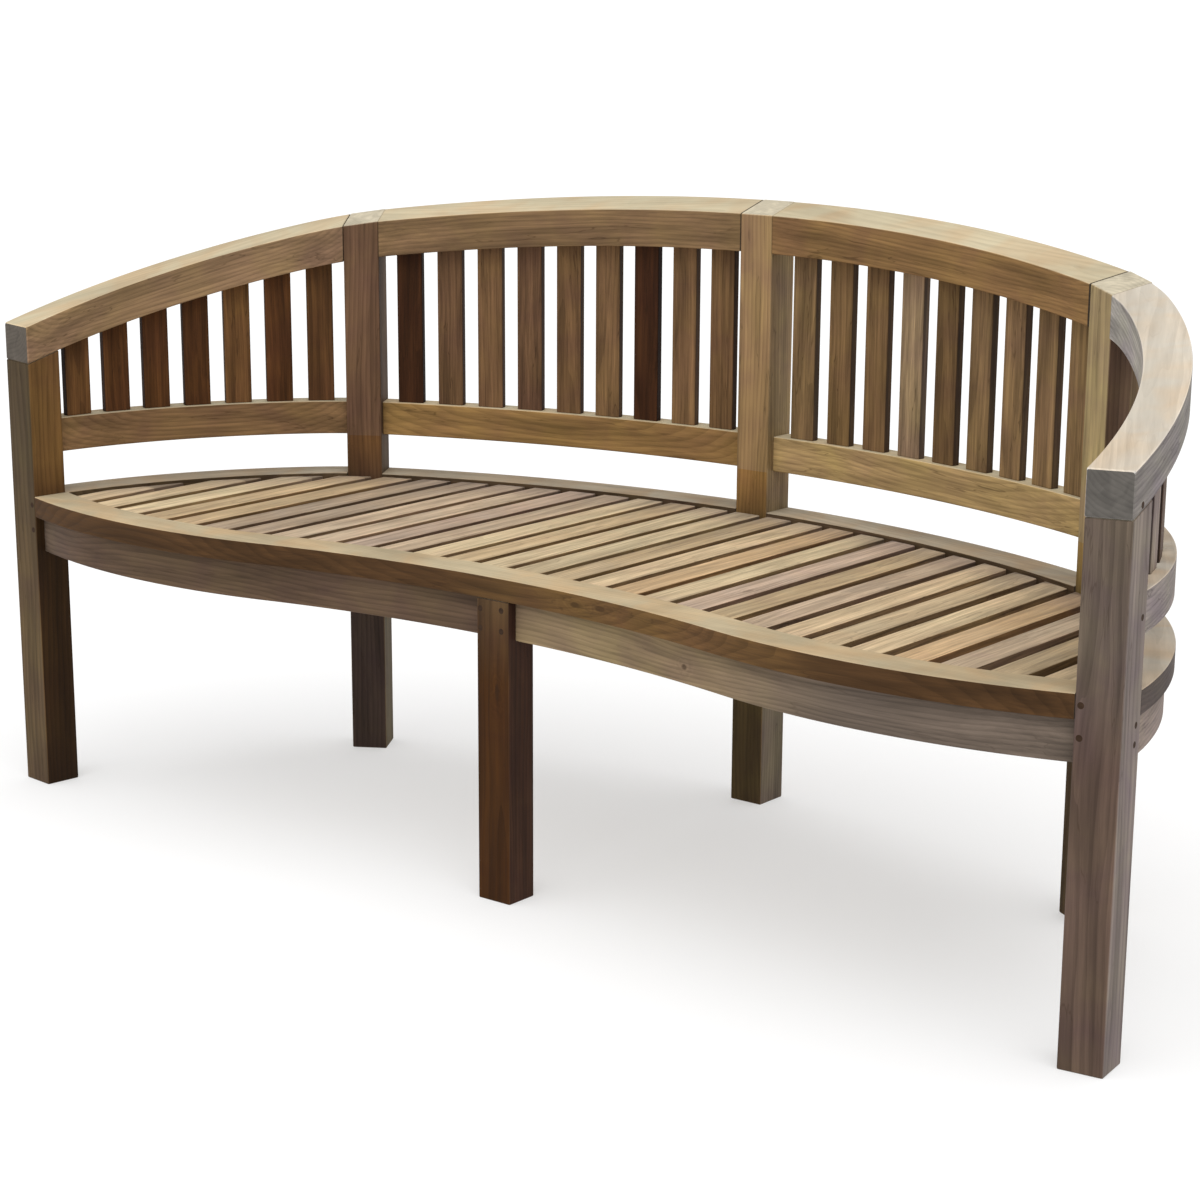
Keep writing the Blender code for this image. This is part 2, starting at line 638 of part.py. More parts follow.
def stub_tenon(post, seat):
    """Square tenon that stands on a post's top."""
    half = STUB_TENON / 2
    level = height(seat, post.centre.y)
    return Block(post.centre, post.heading, (-half, half), (-half, half),
                 level - 2 * TENON_ROOT, level + STUB_TENON)


def make_post(post, top, tenons, carrier):
    builder = bmesh.new()
    add_block(builder, Block(post.centre, post.heading, (-post.half_along, post.half_along),
                             (-post.half_across, post.half_across), 0.0, top))
    piece = add_object(post.name, builder, carrier, POST_TEAK)
    ease(piece, POST_EASE, POST_EASE_STEPS)
    if tenons:
        combine(piece, helper_blocks(post.name + "_tenon", tenons, carrier), 'UNION')
    combine(piece, helper_blocks(post.name + "_mortises", post.sockets, carrier), 'DIFFERENCE')


def main():
    for leftover in list(bpy.data.objects):
        bpy.data.objects.remove(leftover)
    carrier = bpy.data.objects.new("curved_bench", None)
    bpy.context.scene.collection.objects.link(carrier)
    carrier.location.y = -PLAN_MIDDLE_Y
    front_room = make_front_room(carrier)
    rails = {}
    for bay, left, right in FOUR_BAYS:
        rails[bay] = make_top_rail(bay, left, right, carrier)
        make_back_panel(bay, left, right, rails[bay], carrier)
        make_seat_side(bay, left, right, front_room, carrier)
    front_border = make_seat_front(carrier)
    make_ledgers(carrier)
    make_stretcher(carrier)
    make_seat_slats(carrier)
    make_posts([rails["left_arm"], rails["right_arm"]], front_border, carrier)


main()
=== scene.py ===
"""Curved garden bench in bare teak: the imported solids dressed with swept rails, slats and pegs.

Rails, borders and aprons are swept along the bench's own plan curves. Each piece carries the board it
was sawn from as an attribute, so grain runs straight through a curved rail, as it does in a real one.
"""
import bpy
import random
from math import acos, ceil, cos, pi, sin
from mathutils import Matrix, Vector


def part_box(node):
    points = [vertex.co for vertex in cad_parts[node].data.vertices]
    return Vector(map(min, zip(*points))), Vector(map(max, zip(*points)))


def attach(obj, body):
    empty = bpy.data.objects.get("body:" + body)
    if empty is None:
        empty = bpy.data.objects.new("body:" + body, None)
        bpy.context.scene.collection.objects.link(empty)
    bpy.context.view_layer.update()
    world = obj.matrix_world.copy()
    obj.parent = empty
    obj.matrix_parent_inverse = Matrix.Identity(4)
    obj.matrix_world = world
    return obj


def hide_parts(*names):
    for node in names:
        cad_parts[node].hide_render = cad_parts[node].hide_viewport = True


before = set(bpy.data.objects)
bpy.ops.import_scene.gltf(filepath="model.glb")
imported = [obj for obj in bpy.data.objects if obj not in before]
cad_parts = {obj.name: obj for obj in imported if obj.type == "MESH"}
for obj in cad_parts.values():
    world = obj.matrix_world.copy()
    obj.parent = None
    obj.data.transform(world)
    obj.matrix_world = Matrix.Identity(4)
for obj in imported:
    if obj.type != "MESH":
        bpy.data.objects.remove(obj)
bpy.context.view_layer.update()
MM = 0.001

# The bench's plan in metres, as in the part: arcs of the back and of the seat's front edge
BACK_REACH, BACK_RADIUS, CORNER_RADIUS, ARM_RADIUS = 0.5948, 1.4568, 0.3075, 0.6904
BACK_TURN, CORNER_TURN, SIDE_POST_SHARE = 0.4312, 0.8223, 0.291
FRONT_SETBACK, HOLLOW_RADIUS, HOLLOW_TURN = 0.003, 1.635, 0.2358
POST_WIDTH, LEG_DEPTH, RAIL_WIDTH = 0.054, 0.050, 0.056
SEAT, ARM_RISE, BACK_RISE = 0.44, 0.2574, 0.4307


def forward(heading):
    return Vector((cos(heading), sin(heading)))


def leftward(heading):
    return Vector((-sin(heading), cos(heading)))


class PlanCurve:
    """Tangent arcs from the middle of the bench to its right, mirrored to its left."""

    def __init__(self, start_y, arcs):
        self.arcs = []
        point, heading, run = Vector((0.0, start_y)), 0.0, 0.0
        for radius, turn in arcs:
            bend = 1 if turn > 0 else -1
            centre = point + leftward(heading) * radius * bend
            self.arcs.append((run, heading, radius, bend, centre))
            run += radius * abs(turn)
            heading += turn
            point = centre - leftward(heading) * radius * bend
        self.length = run

    def at(self, station, offset=0.0):
        side = -1 if station < 0 else 1
        run, heading, radius, bend, centre = [a for a in self.arcs if a[0] <= abs(station)][-1]
        heading += bend * (abs(station) - run) / radius
        point = centre + leftward(heading) * (offset - bend * radius)
        return Vector((side * point.x, point.y)), side * heading

    def crossing(self, offset, point, normal, near, far):
        """Station between near and far where the offset curve crosses an upright plane."""
        sign = 1 if (self.at(near, offset)[0] - point).dot(normal) > 0 else -1
        for _ in range(40):
            middle = (near + far) / 2
            ahead = (self.at(middle, offset)[0] - point).dot(normal) * sign > 0
            near, far = (middle, far) if ahead else (near, middle)
        return (near + far) / 2

    def y_at(self, x, offset):
        station = self.crossing(offset, Vector((abs(x), 0.0)), Vector((1.0, 0.0)), 0.0, self.length)
        return self.at(station, offset)[0].y


def back_curve():
    arm_centre_y = (BACK_REACH - BACK_RADIUS + (BACK_RADIUS - CORNER_RADIUS) * cos(BACK_TURN)
                    + (CORNER_RADIUS - ARM_RADIUS) * cos(CORNER_TURN))
    post_turn = acos(-arm_centre_y / ARM_RADIUS)
    run_on = 2 * POST_WIDTH / ARM_RADIUS
    curve = PlanCurve(BACK_REACH, [(BACK_RADIUS, -BACK_TURN), (CORNER_RADIUS, BACK_TURN - CORNER_TURN),
                                   (ARM_RADIUS, CORNER_TURN - post_turn - run_on)])
    return curve, curve.length - run_on * ARM_RADIUS


BACK, FRONT_POST_AT = back_curve()
SIDE_POST_AT = BACK_RADIUS * BACK_TURN + CORNER_RADIUS * (CORNER_TURN - BACK_TURN) * SIDE_POST_SHARE

HALF_RAIL = RAIL_WIDTH / 2
RAIL_HEIGHT, RAIL_SLOPE = 0.0535, (BACK_RISE - ARM_RISE) / BACK_REACH
LOWER_RAIL = (-0.014, 0.023)      # inner and outer faces, from the rail's centre line
LOWER_RAIL_TOP, LOWER_RAIL_HEIGHT = SEAT + 0.1086, 0.050
BORDER_THICKNESS, FRONT_BORDER_WIDTH = 0.030, 0.057
APRON_HEIGHT, APRON, FRONT_APRON = 0.053, (-0.010, 0.018), (0.014, 0.042)
SEAT_SLATS, SLAT_THICKNESS, SLAT_DROP = 29, 0.020, 0.0034
MIDDLE_GAP, END_GAP, SIDE_GAP, REAR_GAP = 0.0136, 0.0184, 0.0228, 0.007
ARM_BAY_SLATS, BACK_BAY_SLATS = 7, 9
BACK_SLAT_WIDTH, BACK_SLAT_THICKNESS = 0.040, 0.013
JOINT = 0.3 * MM                  # clearance between two pieces that meet
CLEAR_OF_ALL = 9.0                # distance to a joint that isn't there
ARRIS, RAIL_ARRIS, POST_ARRIS = 1.6 * MM, 3.0 * MM, 2.0 * MM
STEP = 6 * MM                     # between two sections of a swept piece
UP = Vector((0.0, 0.0, 1.0))


class Post:
    """Square upright with its sides along and across the curve it stands on."""

    def __init__(self, centre, heading, station, depth):
        self.centre, self.heading, self.station = centre, heading, station
        self.half_along, self.half_across = POST_WIDTH / 2, depth / 2

    def face_along(self, side, gap=JOINT):
        normal = forward(self.heading) * side
        return self.centre + normal * (self.half_along + gap), normal

    def face_across(self, side, gap=JOINT):
        normal = leftward(self.heading) * side
        return self.centre + normal * (self.half_across + gap), normal


def post_on_back(station):
    return Post(*BACK.at(station), station, RAIL_WIDTH)


FRONT_LEFT, FRONT_RIGHT = post_on_back(-FRONT_POST_AT), post_on_back(FRONT_POST_AT)
BACK_LEFT, BACK_CENTRE, BACK_RIGHT = [post_on_back(s) for s in (-SIDE_POST_AT, 0.0, SIDE_POST_AT)]
MIDDLE_LEG = Post(Vector((0.0, LEG_DEPTH / 2 - FRONT_SETBACK)), 0.0, 0.0, LEG_DEPTH)
BAYS = [("left_arm", FRONT_LEFT, BACK_LEFT), ("left_back", BACK_LEFT, BACK_CENTRE),
        ("right_back", BACK_CENTRE, BACK_RIGHT), ("right_arm", BACK_RIGHT, FRONT_RIGHT)]


def front_curve():
    corner = (FRONT_RIGHT.centre + forward(FRONT_RIGHT.heading) * FRONT_RIGHT.half_along
              - leftward(FRONT_RIGHT.heading) * FRONT_RIGHT.half_across)
    joint = Vector((HOLLOW_RADIUS * sin(HOLLOW_TURN),
                    HOLLOW_RADIUS * (cos(HOLLOW_TURN) - 1) - FRONT_SETBACK))
    chord = corner - joint
    bulge_radius = chord.length_squared / (2 * chord.dot(leftward(-HOLLOW_TURN)))
    bulge_turn = (chord.length + 2 * POST_WIDTH) / bulge_radius
    return PlanCurve(-FRONT_SETBACK, [(HOLLOW_RADIUS, -HOLLOW_TURN), (bulge_radius, bulge_turn)])


FRONT = front_curve()
TO_FRAME = Matrix.Translation((0.0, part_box("back_centre_post")[1].y - BACK_REACH - HALF_RAIL, 0.0))


def rail_top(y):
    return SEAT + ARM_RISE + RAIL_SLOPE * y


# Node trees, for shaders and for geometry

def feed(tree, socket, value):
    """Gives a socket its plain value, or links it to a socket or to a node's first output in use."""
    if isinstance(value, bpy.types.Node):
        value = next(s for s in value.outputs if s.enabled)
    if isinstance(value, bpy.types.NodeSocket):
        tree.links.new(value, socket)
    else:
        socket.default_value = value


def add(tree, kind, inputs=(), **settings):
    """Adds a node with its settings, and its inputs by name or in the order in which it shows them.

    Its kind leaves out the family, and a second word is its operation or else its data type. A range's
    inputs are its value, the two ends it comes from and the two it goes to; a mix's are share, A and B.
    """
    kind, _, mode = kind.partition(" ")
    family = next(f for f in ("ShaderNode", "GeometryNode", "FunctionNode", "")
                  if hasattr(bpy.types, f + kind))
    node = tree.nodes.new(family + kind)
    if mode:
        setattr(node, "operation" if hasattr(node, "operation") else "data_type", mode)
    for name, value in settings.items():
        setattr(node, name, value)
    shown = [s for s in node.inputs if s.enabled]
    if isinstance(inputs, dict):
        shown = [next(s for s in shown if s.name == name) for name in inputs]
        inputs = inputs.values()
    for socket, value in zip(shown, inputs):
        feed(tree, socket, value)
    return node


def linear(hex_colour):
    """sRGB hex to the linear colour that shaders and lights work in."""
    shares = [int(hex_colour[k:k + 2], 16) / 255 for k in (1, 3, 5)]
    return (*[s / 12.92 if s <= 0.04045 else ((s + 0.055) / 1.055) ** 2.4 for s in shares], 1.0)


def new_tree(name, sockets):
    """Geometry node tree with named inputs, and its input sockets by name."""
    tree = bpy.data.node_groups.new(name, "GeometryNodeTree")
    tree.interface.new_socket("Geometry", in_out="OUTPUT", socket_type="NodeSocketGeometry")
    for label, kind in [("Geometry", "Geometry"), *sockets]:
        tree.interface.new_socket(label, in_out="INPUT", socket_type="NodeSocket" + kind)
    return tree, tree.nodes.new("NodeGroupInput").outputs


def rounded_section(tree, width, height, arris, outer_arris=None):
    """Rectangle with sanded arrises; the upper outer one may be rounder than the rest."""
    radius = arris
    if outer_arris:
        place = add(tree, "SeparateXYZ", [add(tree, "InputPosition")]).outputs
        outer = add(tree, "Math LESS_THAN", [place["X"], 0.0])
        upper = add(tree, "Math LESS_THAN", [place["Y"], 0.0])
        corner = add(tree, "Math MULTIPLY", [outer, upper])
        radius = add(tree, "Mix", [corner, arris, outer_arris])
    box = add(tree, "CurvePrimitiveQuadrilateral", {"Width": width, "Height": height})
    return add(tree, "FilletCurve", {"Curve": box, "Radius": radius, "Count": 3}, mode="POLY")


SHARP_BEND = 0.14                 # angle in radians past which an edge between faces stays crisp
BOARD_SOCKETS = [("Board middle", "Vector"), ("Board turn", "Vector"), ("Board shift", "Vector"),
                 ("Tone", "Vector"), ("Flank", "Vector"), ("Material", "Material")]


def mark_board(tree, mesh, size, side, **marks):
    """Stores where each point lay in its sawn board, the grain's direction and the board's tone."""
    place = add(tree, "InputPosition")
    local = add(tree, "VectorMath SUBTRACT", [place, size["Board middle"]])
    turned = add(tree, "VectorRotate", {"Vector": local, "Rotation": size["Board turn"]},
                 rotation_type="EULER_XYZ", invert=True)
    board = add(tree, "VectorMath ADD", [turned, size["Board shift"]])
    axis = add(tree, "VectorRotate",
               {"Vector": (1.0, 0.0, 0.0), "Rotation": size["Board turn"]}, rotation_type="EULER_XYZ")
    finish_tree(tree, mesh, size["Material"], board=board, axis=axis, side=side, tone=size["Tone"],
                flank=size["Flank"], **marks)


def finish_tree(tree, mesh, material, **marks):
    """Marks stored for the material, flat faces with crisp arrises, and everything realized."""
    for name, value in marks.items():
        mesh = add(tree, "StoreNamedAttribute FLOAT_VECTOR",
                   {"Geometry": mesh, "Name": name, "Value": value})
    bend = add(tree, "InputMeshEdgeAngle")
    sharp = add(tree, "Math GREATER_THAN", [bend, SHARP_BEND])
    smooth = add(tree, "SetShadeSmooth", {"Geometry": mesh, "Shade Smooth": True}, domain="FACE")
    crisp = add(tree, "SetShadeSmooth",
                {"Geometry": smooth, "Selection": sharp, "Shade Smooth": False}, domain="EDGE")
    real = add(tree, "RealizeInstances", {"Geometry": crisp})
    done = add(tree, "SetMaterial", {"Geometry": real, "Material": material})
    add(tree, "NodeGroupOutput", {"Geometry": done})


def swept_bar_tree():
    """A rounded section along a path, squared off flat at its ends and lifted into its plane."""
    tree, size = new_tree("swept bar", [
        ("Width", "Float"), ("Height", "Float"), ("Arris", "Float"), ("Outer arris", "Float"),
        ("Middle height", "Float"), ("Slope", "Float"), *BOARD_SOCKETS])
    pinch = add(tree, "InputNamedAttribute FLOAT", {"Name": "pinch"})
    face, run, middle = [add(tree, "InputNamedAttribute FLOAT_VECTOR", {"Name": name})
                         for name in ("face", "run", "middle")]
    place = add(tree, "InputPosition")
    path = add(tree, "MeshToCurve", {"Mesh": size["Geometry"]})
    path = add(tree, "SetCurveNormal", {"Curve": path}, mode="Z_UP")
    for name, value in (("middle", place), ("run", add(tree, "InputTangent"))):
        path = add(tree, "StoreNamedAttribute FLOAT_VECTOR",
                   {"Geometry": path, "Name": name, "Value": value})
    section = rounded_section(tree, size["Width"], size["Height"], size["Arris"], size["Outer arris"])
    bar = add(tree, "CurveToMesh", {"Curve": path, "Profile Curve": section, "Scale": pinch,
                                    "Fill Caps": True})
    out = add(tree, "VectorMath SUBTRACT", [place, middle])
    reach = add(tree, "VectorMath DOT_PRODUCT", [out, face])
    lead = add(tree, "VectorMath DOT_PRODUCT", [run, face])
    slide = add(tree, "Math DIVIDE", [reach, lead])
    back = add(tree, "Math MULTIPLY", [slide, -1.0])
    squared = add(tree, "VectorMath SCALE", [run, back])
    bar = add(tree, "SetPosition", {"Geometry": bar, "Offset": squared})
    depth = add(tree, "SeparateXYZ", [place]).outputs["Y"]
    rise = add(tree, "Math MULTIPLY_ADD", [depth, size["Slope"], size["Middle height"]])
    lift = add(tree, "CombineXYZ", {"Z": rise})
    bar = add(tree, "SetPosition", {"Geometry": bar, "Offset": lift})
    side = add(tree, "VectorMath CROSS_PRODUCT", [(0.0, 0.0, 1.0), run])
    mark_board(tree, bar, size, side)
    return tree


def upright_tree():
    """Marks a post's mesh as sawn from an upright board, with its distances to ground and rail."""
    tree, size = new_tree("upright", [("Side", "Vector"), ("Covered at", "Float"), ("Slope", "Float"),
                                      ("Darkens at", "Float"), ("Leg shade", "Vector"), ("Shaded", "Vector"),
                                      *BOARD_SOCKETS])
    place = add(tree, "SeparateXYZ", [add(tree, "InputPosition")]).outputs
    cover = add(tree, "Math MULTIPLY_ADD", [place["Y"], size["Slope"], size["Covered at"]])
    below = add(tree, "Math SUBTRACT", [cover, place["Z"]])
    tips = add(tree, "CombineXYZ", {"X": place["Z"], "Y": below, "Z": size["Darkens at"]})
    mark_board(tree, size["Geometry"], size, size["Side"], tips=tips, leg=size["Leg shade"],
               shaded=size["Shaded"])
    return tree


def peg_tree():
    """Round pegs on the points given, each along its own direction and a little proud."""
    tree, size = new_tree("pegs", [("Radius", "Float"), ("Proud", "Float"), ("Depth", "Float"),
                                   ("Seed", "Int"), ("Tone", "Vector"), ("Material", "Material")])
    place = add(tree, "InputPosition")
    out, shift = [add(tree, "InputNamedAttribute FLOAT_VECTOR", {"Name": name})
                  for name in ("out", "shift")]
    # Three sections: the buried end, the post's own face, and the peg's narrower end just above it
    index = add(tree, "InputIndex")
    above = add(tree, "Math GREATER_THAN", [index, 0.5])
    last = add(tree, "Math GREATER_THAN", [index, 1.5])
    chamfer = add(tree, "Math MULTIPLY", [size["Proud"], last])
    sunk = add(tree, "Math SUBTRACT", [above, 1.0])
    rise = add(tree, "Math MULTIPLY_ADD", [sunk, size["Depth"], chamfer])
    line = add(tree, "MeshLine", {"Count": 3})
    spot = add(tree, "CombineXYZ", {"Z": rise})
    line = add(tree, "StoreNamedAttribute FLOAT", {"Geometry": line, "Name": "rim", "Value": last})
    line = add(tree, "SetPosition", {"Geometry": line, "Position": spot})
    line = add(tree, "MeshToCurve", {"Mesh": line})
    rim = add(tree, "InputNamedAttribute FLOAT", {"Name": "rim"})
    round_off = add(tree, "Mix", [rim, 1.0, PEG_PINCH])
    ring = add(tree, "CurvePrimitiveCircle", {"Resolution": PEG_SIDES, "Radius": size["Radius"]})
    peg = add(tree, "CurveToMesh", {"Curve": line, "Profile Curve": ring, "Scale": round_off,
                                    "Fill Caps": True})
    turn = add(tree, "AlignRotationToVector", {"Vector": out}, axis="Z")
    drawn = add(tree, "RandomValue FLOAT_VECTOR", {"Min": (0.0, -0.03, -0.05), "Max": (9.0, 0.03, -0.01),
                                                   "Seed": size["Seed"]})
    points = add(tree, "StoreNamedAttribute FLOAT_VECTOR",
                 {"Geometry": size["Geometry"], "Name": "shift", "Value": drawn})
    pegs = add(tree, "InstanceOnPoints", {"Points": points, "Instance": peg, "Rotation": turn})
    pegs = add(tree, "RealizeInstances", {"Geometry": pegs})
    board = add(tree, "VectorMath ADD", [place, shift])
    finish_tree(tree, pegs, size["Material"], board=board, axis=out, side=out, tone=size["Tone"],
                flank=size["Tone"], tips=(CLEAR_OF_ALL, CLEAR_OF_ALL, 0.0))
    return tree


def slat_row_tree():
    """One rounded slat on each point of the row, from its start along its reach."""
    tree, size = new_tree("slat row", [("Width", "Float"), ("Thickness", "Float"),
                                       ("Arris", "Float"), ("Flank shade", "Vector"),
                                       ("Seed", "Int"), ("Material", "Material")])
    place = add(tree, "InputPosition")
    # Marks that the row's points, and then the sections of the slats on them, carry
    start, reach, across, cuts, tone, shift, local = [
        add(tree, "InputNamedAttribute FLOAT_VECTOR", {"Name": name})
        for name in ("start", "reach", "across", "cuts", "tone", "shift", "local")]
    inset, inner = [add(tree, "InputNamedAttribute FLOAT", {"Name": name})
                    for name in ("inset", "inner")]
    # Unit slat: four sections, of which the two inner ones lie an arris in from the ends
    index = add(tree, "InputIndex")
    rear = add(tree, "Math GREATER_THAN", [index, 1.5])
    first, second = [add(tree, "Math COMPARE", [index, k, 0.1]) for k in (1.0, 2.0)]
    inward = add(tree, "Math SUBTRACT", [first, second])
    either = add(tree, "Math ADD", [first, second])
    along = add(tree, "CombineXYZ", {"Y": rear})
    unit = add(tree, "MeshLine", {"Count": 4})
    for name, value in (("inset", inward), ("inner", either)):
        unit = add(tree, "StoreNamedAttribute FLOAT", {"Geometry": unit, "Name": name, "Value": value})
    unit = add(tree, "SetPosition", {"Geometry": unit, "Position": along})
    unit = add(tree, "MeshToCurve", {"Mesh": unit})
    unit = add(tree, "SetCurveNormal", {"Curve": unit}, mode="Z_UP")
    section = rounded_section(tree, size["Width"], size["Thickness"], size["Arris"])
    pinch = add(tree, "Mix", [inner, END_PINCH, 1.0])
    unit = add(tree, "CurveToMesh", {"Curve": unit, "Profile Curve": section, "Scale": pinch,
                                     "Fill Caps": True})
    # Each point of the row becomes one slat of its own board
    drawn = add(tree, "RandomValue FLOAT_VECTOR", {"Min": (0.0, -0.03, -0.075),
                                                   "Max": (9.0, 0.03, -0.02), "Seed": size["Seed"]})
    row = size["Geometry"]
    for name, value in (("start", place), ("shift", drawn)):
        row = add(tree, "StoreNamedAttribute FLOAT_VECTOR",
                  {"Geometry": row, "Name": name, "Value": value})
    row = add(tree, "InstanceOnPoints", {"Points": row, "Instance": unit})
    row = add(tree, "RealizeInstances", {"Geometry": row})
    from_start = add(tree, "VectorMath SUBTRACT", [place, start])
    row = add(tree, "StoreNamedAttribute FLOAT_VECTOR",
              {"Geometry": row, "Name": "local", "Value": from_start})
    split = add(tree, "SeparateXYZ", [local]).outputs
    cut = add(tree, "SeparateXYZ", [cuts]).outputs
    grain = add(tree, "VectorMath NORMALIZE", [reach])
    lift = add(tree, "VectorMath CROSS_PRODUCT", [across, grain])
    slant = add(tree, "Mix", [split["Y"], cut["X"], cut["Y"]])
    slant = add(tree, "Math MULTIPLY", [slant, split["X"]])
    trim = add(tree, "Math MULTIPLY_ADD", [inset, size["Arris"], slant])
    length = add(tree, "VectorMath LENGTH", [reach])
    run = add(tree, "Math MULTIPLY_ADD", [length, split["Y"], trim])
    left = add(tree, "Math SUBTRACT", [length, run])
    tips = add(tree, "CombineXYZ", {"X": run, "Y": left})
    spot = start
    for direction, distance in ((grain, run), (across, split["X"]), (lift, split["Z"])):
        move = add(tree, "VectorMath SCALE", [direction, distance])
        spot = add(tree, "VectorMath ADD", [spot, move])
    row = add(tree, "SetPosition", {"Geometry": row, "Position": spot})
    inside = add(tree, "CombineXYZ", {"X": run, "Y": split["X"], "Z": split["Z"]})
    board = add(tree, "VectorMath ADD", [inside, shift])
    # Painted shade: a slat's flanks keep only a share of its colour
    flank = add(tree, "VectorMath MULTIPLY", [tone, size["Flank shade"]])
    finish_tree(tree, row, size["Material"], board=board, axis=grain, side=across, flank=flank,
                tips=tips)
    return tree


END_PINCH, PEG_PINCH = 0.96, 0.86  # a sanded or chamfered end's width against the full section
PEG_SIDES = 20
BAR_TREE, UPRIGHT_TREE, SLAT_TREE, PEG_TREE = (
    swept_bar_tree(), upright_tree(), slat_row_tree(), peg_tree())


# Making pieces

def new_piece(name, points, edges=(), faces=(), **attributes):
    """Object from points, edges and faces; each attribute has one number or vector for each point."""
    mesh = bpy.data.meshes.new(name)
    mesh.from_pydata([Vector(p).to_3d() for p in points], edges, faces)
    for label, values in attributes.items():
        plain = isinstance(values[0], (int, float))
        kind, field = ("FLOAT", "value") if plain else ("FLOAT_VECTOR", "vector")
        flat = values if plain else [c for v in values for c in Vector(v).to_3d()]
        mesh.attributes.new(label, kind, "POINT").data.foreach_set(field, flat)
    piece = bpy.data.objects.new(name, mesh)
    bpy.context.scene.collection.objects.link(piece)
    return piece


def bake(piece, tree, values):
    """Runs a tree on a piece with named values and keeps the result as its plain mesh."""
    modifier = piece.modifiers.new(tree.name, "NODES")
    modifier.node_group = tree
    for item in tree.interface.items_tree:
        if item.in_out == "INPUT" and item.name in values:
            modifier[item.identifier] = values[item.name]
    depsgraph = bpy.context.evaluated_depsgraph_get()
    made = bpy.data.meshes.new_from_object(piece.evaluated_get(depsgraph), depsgraph=depsgraph)
    piece.modifiers.clear()
    piece.data = made
    made.transform(TO_FRAME)


def stands_for(piece, slot, *nodes):
    """Stands still with the bench and takes the place of CAD nodes."""
    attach(piece, "root")
    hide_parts(*nodes)


chance = random.Random(20)

# Colours of each rail, border and apron: its side that faces in or forwards, then its other side
RAIL_COLOURS = {"left_arm": ("#8e7356", "#85694d"), "left_back": ("#806649", "#7d6243"),
                "right_back": ("#886944", "#81633f"), "right_arm": ("#aea9a3", "#817a75")}
LOWER_RAIL_COLOURS = {"left_arm": ("#856848", "#80664c"), "left_back": ("#937348", "#84694a"),
                      "right_back": ("#b69a6b", "#9c8258"), "right_arm": ("#a3968a", "#8b807a")}
# The rear borders' first colour is dark brown as painted shade on their inward faces
BORDER_COLOURS = {"left_arm": ("#5a4834", "#6a5f50"), "left_back": ("#5c4935", "#756a57"),
                  "right_back": ("#5c4935", "#756a57"), "right_arm": ("#5a4a40", "#554944"),
                  "front": ("#6b4f2e", "#66523a")}
APRON_COLOURS = {"left_arm": ("#5f4d3d", "#6e5a4a"), "left_back": ("#5f4d3d", "#6e5a4a"),
                 "right_back": ("#5f4d3d", "#6e5a4a"), "right_arm": ("#6e6156", "#8a7b70"),
                 "left_front": ("#5d4a3a", "#6a5440"), "right_front": ("#887458", "#6a5440")}
# Back slats: most slats' colour, then the colours of the others, counted from the left
SLAT_COLOURS = {"left_arm": ("#5f4126", {"#54351d": (1, 2, 3, 5), "#6f4f2f": (4,)}),
                "left_back": ("#775a3e", {"#442918": (0, 6), "#6a4f39": (1, 3), "#826445": (5, 7)}),
                "right_back": ("#8a6f4e", {"#765c3e": (1, 2, 4), "#9f8768": (3,)}),
                "right_arm": ("#8e7f73", {"#5d4a3c": (4,), "#816e56": (0, 1)})}
# Seat slats draw one of these each
SEAT_COLOURS = ("#b9a381", "#a8926f", "#b5a088", "#9c8976", "#c3b08c", "#b0916a", "#bba17a",
                "#a58f80", "#bca683")
# Painted shade on the slats' flanks: shares of a slat's red, green and blue that its flanks keep
BACK_SLAT_FLANK_SHADE, SEAT_SLAT_FLANK_SHADE = (0.3, 0.29, 0.33), (0.41, 0.33, 0.26)


def board_values(middle, along, lift, material, colour, flank):
    """Where a piece was sawn: its board's middle, the grain's direction, and how far from the pith."""
    x = Vector(along).normalized()
    y = Vector(lift).cross(x).normalized()
    turn = Matrix((x, y, x.cross(y))).transposed().to_euler()
    shift = (chance.uniform(0, 9), chance.uniform(-0.05, 0.05), chance.uniform(-0.09, -0.03))
    return {"Board middle": middle, "Board turn": tuple(turn), "Board shift": shift,
            "Tone": linear(colour)[:3], "Flank": linear(flank)[:3], "Material": material}


def sweep(name, curve, planes, middle, span, levels, material, colours, slope=0.0, shown=(),
          outer=ARRIS):
    """Curved bar between two upright planes; a shown end gets a sanded edge."""
    centre = sum(span) / 2
    ends = [curve.crossing(centre, *plane, middle, side * curve.length)
            for side, plane in zip((-1, 1), planes)]
    count = ceil((ends[1] - ends[0]) / STEP)
    stations = [ends[0] + (ends[1] - ends[0]) * k / count for k in range(count + 1)]
    faces = [planes[0][1], *[Vector((0.0, 0.0))] * (count - 1), planes[1][1]]
    pinches = [1.0] * (count + 1)
    for side in shown:
        last = 0 if side < 0 else -1
        pinches[last] = END_PINCH
        place = 1 if side < 0 else len(stations) - 1
        stations.insert(place, ends[last] - side * ARRIS)
        faces.insert(place, planes[last][1])
        pinches.insert(place, 1.0)
    # Distances to the joints at the two ends; a shown end has none
    tips = [(CLEAR_OF_ALL if -1 in shown else station - ends[0],
             CLEAR_OF_ALL if 1 in shown else ends[1] - station) for station in stations]
    points = [curve.at(station, centre)[0] for station in stations]
    piece = new_piece(name, points, [(k, k + 1) for k in range(len(points) - 1)],
                      pinch=pinches, face=faces, tips=tips)
    along = (points[-1] - points[0]).to_3d()
    along.z = slope * along.y
    low, high = levels
    board_middle = curve.at(sum(ends) / 2, centre)[0].to_3d()
    board_middle.z = (low + high) / 2 + slope * board_middle.y
    bake(piece, BAR_TREE, {
        "Width": span[1] - span[0], "Height": high - low, "Arris": ARRIS, "Outer arris": outer,
        "Middle height": (low + high) / 2, "Slope": slope,
        **board_values(board_middle, along, (0.0, -slope, 1.0), material, *colours)})
    return piece


